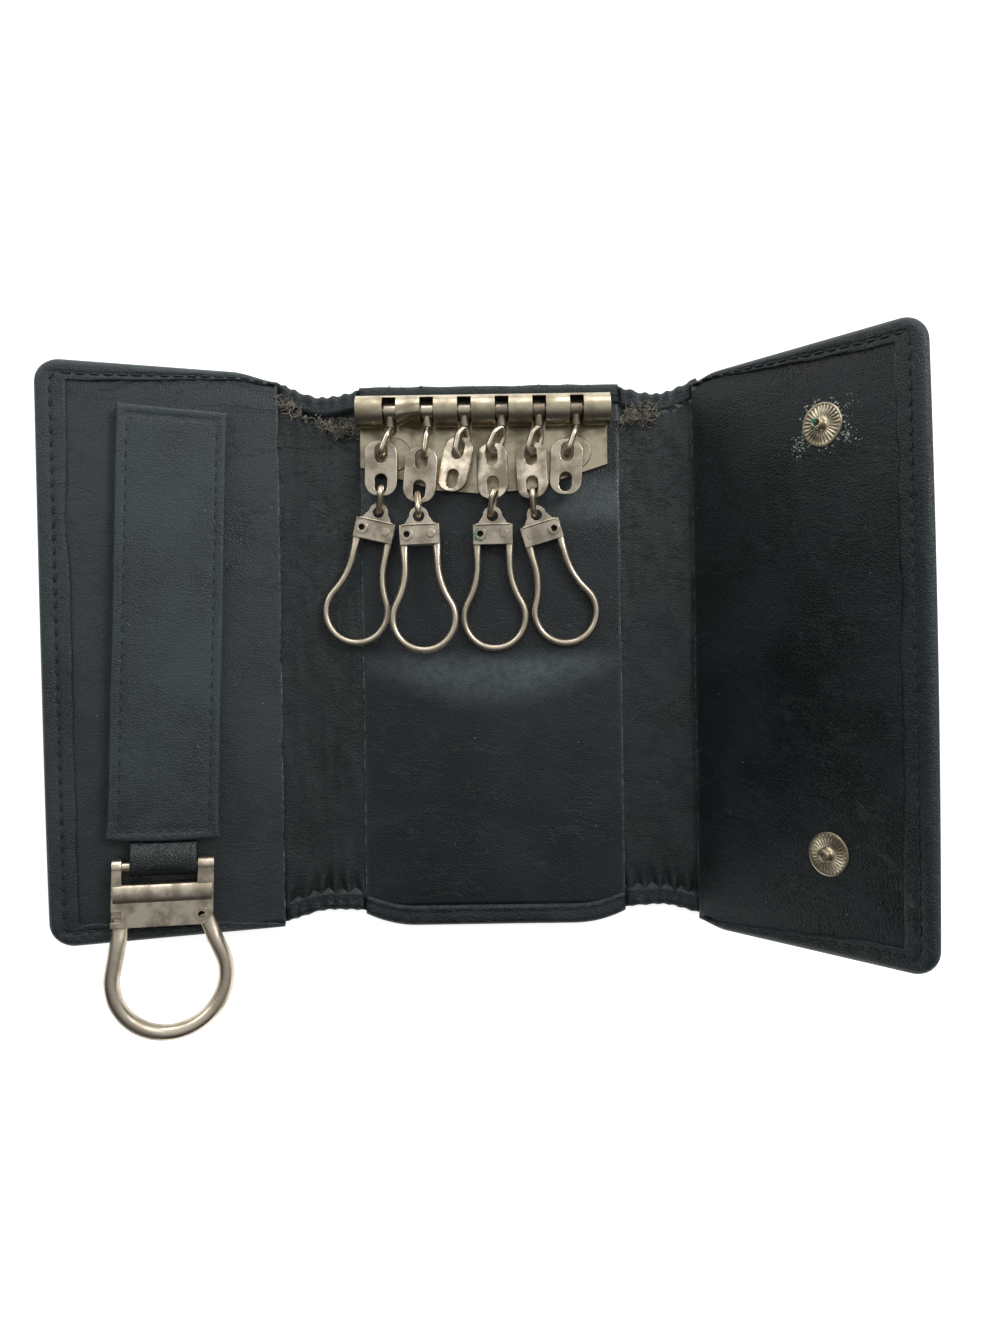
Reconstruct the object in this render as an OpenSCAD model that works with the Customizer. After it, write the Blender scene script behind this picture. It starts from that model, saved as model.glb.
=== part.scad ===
// Folding leather key case: three panels, two fold strips, a six-station key row,
// four key clips on short chains and a large hook on a strap.
// Millimetres. +X to the right, +Y towards the key row, +Z up from the table.
// The origin is the middle of the centre panel's underside.

/* [Case] */
// Height of the case along its folds
case_h = 107; // [100:0.5:130]
// Width of the centre panel
centre_w = 51.8; // [51.4:0.1:60]
// Width of the left fold strip between the two raw edges
left_strip_w = 16.3; // [15.5:0.1:20]
// Width of the right fold strip between the two raw edges
right_strip_w = 16; // [15.5:0.1:20]
// Width of the left flap from its raw edge
left_flap_w = 42.7; // [40:0.1:50]
// Width of the right flap from its raw edge
right_flap_w = 46.8; // [44:0.1:52]
// Radius of the flaps' outer corners
flap_corner_r = 4.5; // [2:0.1:8]

/* [Leather] */
// Thickness of the outer leather
back_t = 1; // [0.8:0.05:1.4]
// Thickness of the raw-edged lining panels
lining_t = 0.9; // [0.7:0.05:1.2]
// Thickness of the stiffening board in each flap
board_t = 0.5; // [0.4:0.05:0.8]
// Thickness of the thin lining in the fold strips
strip_lining_t = 0.6; // [0.4:0.05:0.8]
// Thickness of the turned hem that lies on the lining
hem_t = 0.4; // [0.3:0.05:0.5]
// Width of the turned hem along the flaps' outer edges
hem_side = 5.4; // [4:0.1:8]
// Width of the turned hem along the top and bottom edges
hem_end = 4.1; // [3.5:0.1:6]
// How far the fold strips draw in at the top
strip_top_dip = 1.6; // [0:0.1:3]
// How far the fold strips draw in at the bottom
strip_bottom_dip = 2.8; // [0:0.1:4]

/* [Folds] */
// Clearance between a strip's round edge and the panel beside it
fold_gap = 0.2; // [0.15:0.05:0.4]
// Angle of the left strip as it lies
left_strip_tilt = 6; // [2:1:8]
// Angle of the left flap as it lies
left_flap_tilt = 18; // [10:1:30]
// Angle of the right flap as it lies
right_flap_tilt = 49.5; // [30:0.5:60]
// Angle of the left strip when the case is closed
left_strip_closed = 75; // [70:1:80]
// Gap between the two linings when the case is closed
closed_gap_t = 0.825; // [0.775:0.025:1]

/* [Key row] */
// Number of stations along the rail
stations = 6; // [6:1:6]
// Diameter of the rolled rail
rail_d = 6.2; // [5.8:0.1:6.6]
// Thickness of the key row's sheet
sheet_t = 0.8; // [0.6:0.05:1]
// Length of each of the two end knuckles
end_knuckle_l = 5.25; // [4.5:0.05:5.4]
// Length of each knuckle between two stations
knuckle_l = 4.65; // [4.4:0.05:4.7]
// Width of the gap in which each collar turns
knuckle_gap = 2.68; // [2.5:0.02:2.8]
// Distance of the rail's axis from the case's top edge
rail_inset = 5.5; // [5:0.1:7]
// Diameter of the rod inside the rail
rod_d = 1.8; // [1.6:0.1:2]
// How far the rail sits left of the middle
row_shift = 1.1; // [0.8:0.1:1.2]
// Distance of each rivet from the middle of the row
rivet_x = 18; // [16:0.1:19]
// Distance of the rivets below the rail's axis
rivet_drop = 8; // [7:0.1:9]
// Radius of the flat rivet heads
rivet_head_r = 3.3; // [2.5:0.1:3.6]

/* [Chains] */
// Width of a collar
collar_w = 2.2; // [2:0.05:2.3]
// Diameter of the swivel hooks' wire
hook_wire_d = 1.1; // [0.9:0.05:1.15]
// Width between the centre lines of a swivel hook's two sides
hook_ring_w = 2.8; // [2.6:0.05:2.85]
// Length from a swivel hook's bend to its tip
hook_l = 5.4; // [5.2:0.1:5.8]
// Width of a flat link
link_w = 6.4; // [6:0.1:6.6]
// Length of a flat link
link_l = 11; // [10.8:0.1:11.6]
// Thickness of a flat link
link_t = 0.7; // [0.6:0.05:0.75]
// Width of a flat link's slots
slot_w = 2.4; // [2.3:0.05:2.8]
// Length of a flat link's slots
slot_l = 3.7; // [3.6:0.05:4]
// Diameter of the oval rings' wire
ring_wire_d = 1.2; // [1:0.05:1.3]
// Width between the centre lines of an oval ring's two sides
ring_w = 2.9; // [2.8:0.05:3.2]
// Straight length of an oval ring's sides
ring_straight = 2.2; // [2.1:0.05:3]

/* [Key clips] */
// Diameter of a key clip's wire
clip_wire_d = 1.4; // [1.2:0.05:1.5]
// Radius of a clip loop's round end, to the wire's centre line
clip_loop_r = 6.1; // [5.6:0.1:6.2]
// Distance from the hanging hole to the centre of the round end
clip_loop_drop = 20.1; // [18:0.1:22]
// Half the distance between a clip's two arms
clip_arm_x = 3.2; // [3.1:0.05:3.4]
// Width of a clip's head
clip_head_w = 7.8; // [7.6:0.1:8.4]
// Height of a clip head's folded band
clip_head_h = 3.9; // [3.6:0.1:4.4]
// Diameter of the hanging hole
clip_hole_d = 2.2; // [2.1:0.05:2.4]
// Thickness of a clip head's sheet
clip_sheet_t = 0.5; // [0.4:0.05:0.6]

/* [Strap and hook] */
// Distance of the strap's middle from the left flap's raw edge
strap_x = 21.4; // [19:0.1:23]
// Angle of the strap to the fold, its lower end leaning outwards
strap_lean = 1.9; // [0:0.1:2.5]
// Width of the strap
strap_w = 20; // [18:0.1:22]
// Distance of the strap's top from the case's top edge
strap_inset = 6.1; // [6:0.1:12]
// Distance of the strap's lower end from the case's bottom edge
strap_foot = 19; // [17:0.1:25]
// Thickness of the strap's two layers together
strap_t = 3; // [2.8:0.1:3.1]
// Clearance on each side of the leather loop in the hook's slot
keeper_side_gap = 0.7; // [0.5:0.1:1.5]
// Width of the large hook's head
hook_head_w = 18.3; // [18:0.1:21]
// Thickness of the large hook's head
hook_head_t = 3.1; // [3:0.1:3.2]
// Diameter of the large hook's wire
big_wire_d = 3; // [2.6:0.1:3.2]
// Radius of the large hook's round end, to the wire's centre line
big_loop_r = 10.3; // [10:0.1:12]

/* [Snaps] */
// Distance of the snap studs from the right flap's raw edge
stud_x = 29.2; // [26:0.1:32]
// Distance of the upper stud from the case's top edge
stud_top_inset = 14; // [12.5:0.1:18]
// Distance of the lower stud from the case's bottom edge
stud_low_inset = 16.9; // [12.5:0.1:20]
// Diameter of a stud's ribbed disc
stud_disc_d = 7.9; // [7:0.1:8.5]
// Diameter of a stud's post
stud_post_d = 2.3; // [2:0.05:2.5]
// Height of a stud above the lining
stud_h = 2.2; // [2:0.05:2.3]

/* [Hidden] */
$fn = 48;

// Overrun of every cut, and the running clearance of every pin
cut = 1;
run_gap = 0.05;
// Clearance between a piece at rest and the surface under it
rest_gap = 0.15;
// Facets in a curved leather edge
edge_steps = 8;

// Share of a wire's radius in the round joints between its straight and bent lengths
joint_share = 1.16;
// The same share for the six small hooks, which sit closer to their collars
hook_joint_share = 1.03;

// Colours
black_leather = [0.13, 0.15, 0.16];
black_lining = [0.16, 0.18, 0.19];
grey_board = [0.45, 0.43, 0.4];
nickel = [0.6, 0.57, 0.52];
brassy = [0.66, 0.61, 0.48];

// Leather: the wall of the turned edge, the hem's setback at a fold,
// and the bend in the lower corners of the centre panel
edge_wall = 1;
hem_setback = 2.7;
corner_rise = 2.4;
corner_run = 10;

// Fold hinges: a strip's long edges are round about the two hinge axes
fold_r = (back_t + strip_lining_t) / 2;
fold_x = centre_w / 2 + fold_r + fold_gap;
left_setback_share = 2.1875;
left_setback = left_setback_share * fold_r;
right_setback = fold_r + fold_gap;
left_strip_l = left_strip_w / cos(left_strip_tilt) - fold_r - fold_gap - left_setback;
right_strip_l = right_strip_w - fold_r - fold_gap - right_setback;
function strip_l(side) = side < 0 ? left_strip_l : right_strip_l;
function strip_tilt(side) = side < 0 ? left_strip_tilt : 0;
function flap_turn(side) = side < 0 ? left_flap_tilt - left_strip_tilt : right_flap_tilt;
function setback(side) = side < 0 ? left_setback : right_setback;
function flap_w(side) = side < 0 ? left_flap_w : right_flap_w;

// Heights of the layers, from the fold axes in strips and flaps, and from the table in the centre
back_top = back_t - fold_r;
flap_in = back_top + board_t + lining_t;
centre_top = back_t + lining_t;

// Closed case: the two flap hinges, and the direction of the closed flaps
closed_left = [-fold_x - left_strip_l * cos(left_strip_closed),
    fold_r + left_strip_l * sin(left_strip_closed)];
closed_right = [fold_x, fold_r + right_strip_l];
closed_span = closed_right - closed_left;
closed_lean = asin((closed_gap_t + flap_in + fold_r) / norm(closed_span))
    - atan2(closed_span[1], closed_span[0]);
closed_dir = [cos(closed_lean), -sin(closed_lean)];

// Key row
rail_r = rail_d / 2;
rod_r = rod_d / 2;
bore_r = rail_r - sheet_t - 0.1 * sheet_t;
rail_y = case_h / 2 - rail_inset;
rail_z = centre_top + rail_r;
station_pitch = knuckle_l + knuckle_gap;
row_l = 2 * end_knuckle_l + (stations - 1) * knuckle_l + stations * knuckle_gap;
row_x0 = -row_l / 2 - row_shift;
plate_top = centre_top + sheet_t;
plate_side_drop = 1.3 * rivet_drop;
plate_drop = 2 * rivet_drop;
plate_side_inset = 0.4 * sheet_t;
plate_flat_share = 0.38;
rivet_head_t = 0.25;
rivet_shank_r = 1.3;
plug_l = 2;
function station_x(i) = row_x0 + end_knuckle_l + knuckle_gap / 2 + (i - 1) * station_pitch;

// Collar and swivel hook
collar_wall = 0.65;
collar_r = rod_r + collar_wall;
neck_r = 1;
neck_l = 3.2;
pin_r = 0.4;
chamber_r = 0.78;
chamber_y0 = rod_r + run_gap;
chamber_l = 0.75;
hook_head_r = 0.7;
hook_pin_head_t = 0.5;
neck_stub = 0.35;
bend_drop = neck_l + neck_stub;
hook_r = hook_wire_d / 2;
ring_half = hook_ring_w / 2;

// How each chain lies: leans are turns in the plane of the case, to the right of straight down
hook_leans = [-22, -8, -12, -24, -18, -20];
link_leans = [-1, -5, -13, 1.5, 2, -3.8];
hook_turns = [0, 0, 46, 44, 44, 0];
link_rolls = [0, 0, 22, 20, 20, 0];
slot_side_shares = [0.05, -0.2, -0.15, 0.05, 0, -0.03];
slot_slack_shares = [0.1, -0.2, 0.3, -0.15, -0.1, 0.05];
clip_stations = [1, 2, 4, 5];
ring_leans = [-8, 3, -8, 5];
ring_rolls = [0, 0, 13, 9];
ring_drops = [25, -38, 20, 20];
clip_leans = [-13.3, 2.2, 0.5, 16.3];
clip_sides = [1, 1, 1, -1];
function clip_station(k) = clip_stations[k - 1];
function down(a) = [sin(a), -cos(a)];
function across(a) = [cos(a), sin(a)];
function bend_at(i) = [station_x(i), rail_y - bend_drop];
function hook_tip(i) = bend_at(i) + hook_l * down(hook_leans[i - 1]);
link_bridge = 2.2;
bar_t = (link_l - 2 * slot_l - link_bridge) / 2;
slot_pitch = slot_l + link_bridge;
function upper_slot(i) = hook_tip(i)
    + slot_side_shares[i - 1] * slot_w * across(link_leans[i - 1])
    - slot_slack_shares[i - 1] * slot_l * down(link_leans[i - 1]);
function link_middle(i) = upper_slot(i) + slot_pitch / 2 * down(link_leans[i - 1]);
function upper_bar(i) = link_middle(i) - (link_l - bar_t) / 2 * down(link_leans[i - 1]);
function lower_bar(i) = link_middle(i) + (link_l - bar_t) / 2 * down(link_leans[i - 1]);
ring_r = ring_wire_d / 2;
ring_half_w = ring_w / 2;
function ring_foot(k) = lower_bar(clip_station(k))
    + ring_straight * cos(ring_drops[k - 1]) * down(ring_leans[k - 1]);
function ring_foot_z(k) = rail_z - ring_straight * sin(ring_drops[k - 1]);

// Key clips
clip_wire_r = clip_wire_d / 2;
hole_r = clip_hole_d / 2;
lug_wall = 0.8;
lug_bar_drop = hole_r + lug_wall / 2;
clip_gap_t = 1.1;
clip_head_t = clip_gap_t + 2 * clip_sheet_t;
tab_t = 0.9;
band_top = 1.7;
eyelet_drop = band_top + 0.48 * clip_head_h;
eyelet_x = 2.5;
eyelet_r = 0.85;
eyelet_hole_r = 0.6;
flange_r = 1.25;
flange_t = 0.25;
tab_eye_r = 1.35;
dimple_x = 2.2;
dimple_r = 0.8;
tab_over = 1.3;
tab_end = band_top + clip_head_h + tab_over;
arm_end = 9.5;
// The loops lie at two levels, so that one can open over the next
clip_reach = clip_loop_drop + clip_loop_r + lug_bar_drop;
strip_rise = (clip_loop_r * 1.4) * sin(left_strip_tilt);
low_z = centre_top + clip_wire_r + rest_gap;
clip_rest_zs = [fold_r * 2 + strip_rise + clip_wire_r + 4 * rest_gap,
    ring_foot_z(2) + 3 * rest_gap, low_z, low_z];
function clip_pitch(k) = asin((ring_foot_z(k) - clip_rest_zs[k - 1]) / clip_reach);

// Strap and hook, with heights above the left flap's lining
bar_r = 0.9;
big_wire_r = big_wire_d / 2;
bar_z = hem_t + rest_gap + hook_head_t / 2 + flange_t - 2 * run_gap;
tongue_t = 0.8;
strap_back_t = bar_z - tongue_t / 2;
keeper_t = 0.8;
keeper_r = bar_r + run_gap + keeper_t;
strap_l = case_h - strap_inset - strap_foot;
strap_end_y = strap_foot - case_h / 2;
bar_below = 4.6;
bar_y = strap_end_y - bar_below;
tongue_l = 8;
head_slot = 3.4;
head_drop = 11.1;
left_ear_w = 1.8;
right_ear_w = 3;
keeper_w = hook_head_w - left_ear_w - right_ear_w - 2 * keeper_side_gap;
hook_cavity_t = 1.3;
hook_cavity_drop = 5.4;
hook_tab_t = 1.1;
pivot_x = 0.4 * hook_head_w - 0.1 * big_wire_d;
pivot_drop = 9.2;
pivot_r = 1;
pivot_hole_r = 0.6;
pivot_flange_r = 1.3;
hook_eye_r = 2.1;
big_arm_x = 8.25;
big_arm_mid = 0.75;
big_arm_drop = head_drop + 0.55 * hook_head_t;
big_loop_x = 1.6;
big_loop_drop = 21.2;

// Snaps
stud_disc_t = 0.3;
post_flange_t = 0.4;
post_shank_r = 0.7;
post_flange_r = 3;
socket_lip_t = 0.3;
socket_lip_r = 4.4;
socket_cup_r = 3.2;
socket_wall = 0.2;
socket_play = 0.2;
cap_t = 0.25;
stud_hinge_x = stud_x + right_setback;
// The sockets sit where the closed right flap brings the studs
socket_hinge_x = closed_span * closed_dir - stud_hinge_x;
socket_depth = stud_h - closed_gap_t + socket_play;
snap_ys = [case_h / 2 - stud_top_inset, stud_low_inset - case_h / 2];

// Points of an arc about c, from angle a0 to a1
function arc(c, r, a0, a1, n = edge_steps) =
    [for (i = [0:n]) c + r * [cos(a0 + (a1 - a0) * i / n), sin(a0 + (a1 - a0) * i / n)]];

// Flat slab from one height to another
module slab(z0, z1) {
    translate([0, 0, z0]) linear_extrude(z1 - z0) children();
}

// Round bar between two points
module bar(p, q, r) {
    d = q - p;
    translate(p)
        rotate([0, acos(d[2] / norm(d)), atan2(d[1], d[0])])
            cylinder(r = r, h = norm(d));
}

// Round wire bent in an arc of radius bend_r, in the XY plane
module wire_arc(bend_r, a0, a1, wire_r) {
    rotate([0, 0, a0])
        rotate_extrude(angle = a1 - a0)
            translate([bend_r, 0]) circle(wire_r);
}

// Places: children are drawn with +X outwards from the fold and +Z on the lining side
module on_strip(side) {
    translate([side * fold_x, 0, fold_r])
        mirror([side < 0 ? 1 : 0, 0, 0])
            rotate([0, -strip_tilt(side), 0])
                children();
}

module on_flap(side) {
    on_strip(side)
        translate([strip_l(side), 0, 0])
            rotate([0, -flap_turn(side), 0])
                children();
}

// The left flap seen with +X to the right again, from the middle of the strap
module on_strap() {
    on_flap(-1)
        translate([left_setback + strap_x, 0, flap_in])
            mirror([1, 0, 0])
                rotate([0, 0, -strap_lean])
                    children();
}

// Outline of a flap: square at the fold, two round corners outside
module flap_outline(x0, x1, inset) {
    h = case_h / 2 - inset;
    r = flap_corner_r - inset;
    xe = x1 - inset;
    polygon(concat(
        [[x0, h], [x0, -h]],
        arc([xe - r, -h + r], r, -90, 0),
        arc([xe - r, h - r], r, 0, 90)));
}

module flap_back(side) {
    w = flap_w(side) + setback(side);
    color(black_leather) on_flap(side) difference() {
        slab(-fold_r, flap_in + hem_t) flap_outline(fold_r + fold_gap, w, 0);
        slab(back_top, flap_in) flap_outline(0, w, edge_wall);
        slab(flap_in - hem_t / 2, flap_in + hem_t + cut)
            translate([-w + hem_side, hem_end - case_h / 2])
                square([2 * (w - hem_side), case_h - 2 * hem_end]);
        translate([-cut, -case_h, back_top])
            cube([cut + setback(side), 2 * case_h, case_h]);
        if (side < 0) for (y = snap_ys) translate([socket_hinge_x, y, -fold_r - cut])
            cylinder(r = socket_cup_r + run_gap, h = back_t + 2 * cut);
    }
}

module flap_board(side) {
    color(grey_board) on_flap(side) difference() {
        slab(back_top, back_top + board_t)
            flap_outline(setback(side), flap_w(side) + setback(side), edge_wall);
        for (y = snap_ys) translate([side < 0 ? socket_hinge_x : stud_hinge_x, y, back_top - cut])
            cylinder(r = (side < 0 ? socket_cup_r : post_flange_r) + run_gap, h = board_t + 2 * cut);
    }
}

module flap_lining(side) {
    color(black_lining) on_flap(side) difference() {
        slab(back_top + board_t, flap_in)
            flap_outline(setback(side), flap_w(side) + setback(side), edge_wall);
        if (side > 0) for (y = snap_ys) translate([stud_hinge_x, y, back_top])
            cylinder(r = post_shank_r + run_gap, h = case_h);
        if (side < 0) for (y = snap_ys) translate([socket_hinge_x, y, back_top])
            cylinder(r = socket_lip_r, h = socket_top() + cap_t - back_top);
    }
}
function socket_top() = socket_depth - fold_r + socket_wall;

// Outline of the centre panel, its lower corners drawn in
module centre_outline(inset_y) {
    x = centre_w / 2;
    h = case_h / 2 - inset_y;
    bend_r = (corner_run * corner_run + corner_rise * corner_rise) / (2 * corner_rise);
    turn = asin(corner_run / bend_r);
    polygon(concat(
        [[x, h], [-x, h]],
        arc([corner_run - x, bend_r - h], bend_r, -90 - turn, -90),
        arc([x - corner_run, bend_r - h], bend_r, -90, -90 + turn)));
}

module rivet_places() {
    for (s = [-1, 1]) translate([s * rivet_x - row_shift, rail_y - rivet_drop, 0]) children();
}

// Block across the whole centre panel, between two heights, kept off the upper and lower edges
module centre_block(z0, z1, inset) {
    low = case_h / 2 - corner_rise - inset;
    translate([-centre_w / 2 - cut, -low, z0])
        cube([centre_w + 2 * cut, low + case_h / 2 - inset, z1 - z0]);
}

module centre_back() {
    color(black_leather) difference() {
        slab(0, centre_top + hem_t) centre_outline(0);
        centre_block(back_t, centre_top, edge_wall);
        centre_block(centre_top - hem_t / 2, centre_top + hem_t + cut, hem_end - corner_rise / 2);
        rivet_places() translate([0, 0, -cut])
            cylinder(r = rivet_shank_r + run_gap, h = centre_top + 2 * cut);
        translate([row_x0 - fold_gap, rail_y - rail_r - fold_gap, centre_top])
            cube([row_l + 2 * fold_gap, case_h, rail_d]);
    }
}

module centre_lining() {
    color(black_lining) difference() {
        intersection() {
            slab(back_t, centre_top) centre_outline(0);
            centre_block(back_t, centre_top, edge_wall);
        }
        rivet_places() cylinder(r = rivet_shank_r + run_gap, h = centre_top + cut);
    }
}

// Fold strip: a plan with drawn-in ends, cut to a section with round long edges
module strip_plan(side, inset) {
    l = strip_l(side) / 2 + fold_r;
    top = case_h / 2 - inset;
    low = case_h / 2 - corner_rise - inset;
    translate([strip_l(side) / 2, 0]) polygon(concat(
        [for (i = [0:edge_steps]) [l * (2 * i / edge_steps - 1),
            top - strip_top_dip * sin(180 * i / edge_steps)]],
        [for (i = [0:edge_steps]) [l * (1 - 2 * i / edge_steps),
            -low + (strip_bottom_dip - corner_rise) * sin(180 * i / edge_steps)]]));
}

module strip_section(side) {
    rotate([90, 0, 0]) translate([0, 0, -case_h]) linear_extrude(2 * case_h)
        polygon(concat(arc([0, 0], fold_r, 90, 270), arc([strip_l(side), 0], fold_r, -90, 90)));
}

module fold_back(side) {
    l = strip_l(side);
    wall = case_h / 2 - corner_rise - edge_wall;
    lip = case_h / 2 - corner_rise - hem_end;
    color(black_leather) on_strip(side) {
        intersection() {
            slab(-fold_r, back_top) strip_plan(side, 0);
            strip_section(side);
        }
        // Turned hems at both ends, short of the folds
        intersection() {
            slab(-fold_r, fold_r + hem_t) strip_plan(side, 0);
            for (s = [-1, 1]) {
                translate([hem_setback, s > 0 ? wall : -wall - case_h, 0])
                    cube([l - 2 * hem_setback, case_h, fold_r + hem_t]);
                translate([hem_setback, s > 0 ? lip : -lip - case_h, fold_r])
                    cube([l - 2 * hem_setback, case_h, hem_t]);
            }
        }
    }
}

module fold_lining(side) {
    wall = case_h / 2 - corner_rise - edge_wall;
    color(black_lining) on_strip(side) intersection() {
        slab(back_top, fold_r) translate([-case_h, -wall]) square([2 * case_h, 2 * wall]);
        strip_section(side);
    }
}

module left_fold_back() fold_back(-1);
module right_fold_back() fold_back(1);
module left_fold_lining() fold_lining(-1);
module right_fold_lining() fold_lining(1);
module left_flap_back() flap_back(-1);
module right_flap_back() flap_back(1);
module left_flap_board() flap_board(-1);
module right_flap_board() flap_board(1);
module left_flap_lining() flap_lining(-1);
module right_flap_lining() flap_lining(1);

// Key row: a sheet rolled round at its top into seven knuckles, and the rod through them
module plate_outline() {
    x = row_l / 2 - plate_side_inset;
    flat = plate_flat_share * row_l / 2;
    translate([-row_shift, rail_y]) polygon([
        [-x, -rail_r / 2], [-x, -plate_side_drop],
        [-flat, sheet_t - plate_drop], [0, -plate_drop], [flat, sheet_t - plate_drop],
        [x, -plate_side_drop], [x, -rail_r / 2]]);
}

module along_rail(x0, l, r) {
    translate([x0, rail_y, rail_z]) rotate([0, 90, 0]) cylinder(r = r, h = l);
}

module key_plate() {
    color(brassy) difference() {
        union() {
            slab(centre_top, plate_top) plate_outline();
            difference() {
                along_rail(row_x0, row_l, rail_r);
                for (i = [1:stations]) translate([station_x(i) - knuckle_gap / 2,
                        rail_y - rail_r - cut, centre_top - cut])
                    cube([knuckle_gap, rail_d + cut - sheet_t, rail_d + 2 * cut]);
            }
        }
        along_rail(row_x0 - cut, row_l + 2 * cut, bore_r);
        rivet_places() cylinder(r = rivet_shank_r + run_gap, h = plate_top + cut);
    }
}

module rail_rod() {
    color(nickel) {
        along_rail(row_x0, row_l, rod_r);
        for (x = [row_x0, row_x0 + row_l - plug_l]) along_rail(x, plug_l, bore_r - run_gap);
    }
}

module plate_rivets() {
    color(brassy) rivet_places() {
        cylinder(r = rivet_shank_r, h = plate_top + rivet_head_t);
        translate([0, 0, plate_top]) cylinder(r = rivet_head_r, h = rivet_head_t);
    }
}

// Collar: a band round the rod with a hollow neck that holds the swivel hook's headed pin
module collar(i) {
    color(nickel) translate([station_x(i), rail_y, rail_z]) difference() {
        union() {
            translate([-collar_w / 2, 0, 0]) rotate([0, 90, 0]) cylinder(r = collar_r, h = collar_w);
            rotate([90, 0, 0]) cylinder(r = neck_r, h = neck_l);
        }
        translate([-collar_w, 0, 0]) rotate([0, 90, 0])
            cylinder(r = rod_r + run_gap, h = 2 * collar_w);
        translate([0, -chamber_y0, 0]) rotate([90, 0, 0]) cylinder(r = chamber_r, h = chamber_l);
        rotate([90, 0, 0]) cylinder(r = pin_r + run_gap, h = neck_l + cut);
    }
}

module on_hook(i) {
    translate([bend_at(i)[0], bend_at(i)[1], rail_z])
        rotate([0, 0, hook_leans[i - 1]]) rotate([0, -hook_turns[i - 1], 0])
            children();
}

module swivel_hook(i) {
    taper_share = 1;
    side_y = -taper_share * ring_half;
    round_y = ring_half - hook_l;
    pin_y = -rod_r - run_gap - 2 * run_gap;
    color(nickel) {
        translate([station_x(i), rail_y, rail_z]) {
            translate([0, pin_y, 0]) rotate([90, 0, 0])
                cylinder(r = hook_head_r, h = hook_pin_head_t);
            translate([0, pin_y, 0]) rotate([90, 0, 0])
                cylinder(r = pin_r, h = bend_drop + pin_y);
            translate([0, -neck_l - run_gap, 0]) rotate([90, 0, 0])
                cylinder(r = hook_r, h = bend_drop - neck_l - run_gap);
        }
        on_hook(i) {
            sphere(r = hook_joint_share * hook_r);
            for (s = [-1, 1]) {
                bar([0, 0, 0], [0, side_y, s * ring_half], hook_r);
                translate([0, side_y, s * ring_half]) sphere(r = hook_joint_share * hook_r);
                bar([0, side_y, s * ring_half], [0, round_y, s * ring_half], hook_r);
            }
            translate([0, round_y, 0]) rotate([0, 90, 0]) wire_arc(ring_half, 180, 360, hook_r);
        }
    }
}

// Slot or plate with two round ends along Y
module long_hole(w, l) {
    square([w, l - w], center = true);
    for (s = [-1, 1]) translate([0, s * (l - w) / 2]) circle(r = w / 2);
}

module flat_link(i) {
    round_share = 0.42;
    r = round_share * link_w;
    color(nickel) translate([link_middle(i)[0], link_middle(i)[1], rail_z])
        rotate([0, 0, link_leans[i - 1]]) rotate([0, -link_rolls[i - 1], 0])
            slab(-link_t / 2, link_t / 2) difference() {
                polygon([for (q = [0:3]) each arc(
                    [(q == 0 || q == 3 ? 1 : -1) * (link_w / 2 - r), (q < 2 ? 1 : -1) * (link_l / 2 - r)],
                    r, 90 * q, 90 * q + 90)]);
                for (s = [-1, 1]) translate([0, s * slot_pitch / 2]) long_hole(slot_w, slot_l);
            }
}

module on_ring(k) {
    p = lower_bar(clip_station(k));
    translate([p[0], p[1], rail_z]) rotate([0, 0, ring_leans[k - 1]])
        rotate([ring_drops[k - 1], 0, 0]) rotate([0, -ring_rolls[k - 1], 0])
            children();
}

module oval_ring(k) {
    color(nickel) on_ring(k) {
        rotate([0, 90, 0]) wire_arc(ring_half_w, 0, 180, ring_r);
        translate([0, -ring_straight, 0]) rotate([0, 90, 0]) wire_arc(ring_half_w, 180, 360, ring_r);
        for (s = [-1, 1]) bar([0, 0, s * ring_half_w], [0, -ring_straight, s * ring_half_w], ring_r);
    }
}

// A clip hangs by the bar above its hole; children have the hole's centre as origin
module on_clip(k) {
    translate([ring_foot(k)[0], ring_foot(k)[1], ring_foot_z(k)])
        rotate([0, 0, clip_leans[k - 1]]) rotate([clip_pitch(k), 0, 0])
            translate([0, -lug_bar_drop, 0])
                mirror([clip_sides[k - 1] < 0 ? 1 : 0, 0, 0])
                    children();
}

module clip_head(k) {
    w = clip_head_w / 2;
    lug_r = hole_r + lug_wall;
    lug_t = clip_gap_t - run_gap * 4;
    color(nickel) on_clip(k) difference() {
        union() {
            slab(-lug_t / 2, lug_t / 2) {
                circle(r = lug_r);
                polygon([[-lug_r, 0], [lug_r, 0],
                    [w - lug_wall, -band_top], [lug_wall - w, -band_top]]);
            }
            for (s = [-1, 1]) translate([-w, -band_top - clip_head_h,
                    s > 0 ? clip_gap_t / 2 : -clip_head_t / 2])
                cube([clip_head_w, clip_head_h, clip_sheet_t]);
            translate([-w, -band_top - clip_sheet_t, -clip_head_t / 2])
                cube([clip_head_w, clip_sheet_t, clip_head_t]);
            translate([dimple_x, -eyelet_drop, 0])
                cylinder(r = dimple_r, h = clip_head_t / 2 + clip_sheet_t / 2);
        }
        slab(-clip_gap_t / 2, clip_gap_t / 2) translate([-case_h, -band_top - clip_sheet_t - case_h])
            square([2 * case_h, case_h]);
        translate([0, 0, -case_h]) cylinder(r = hole_r, h = 2 * case_h);
        translate([-eyelet_x, -eyelet_drop, -case_h])
            cylinder(r = eyelet_r + run_gap, h = 2 * case_h);
    }
}

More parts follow.
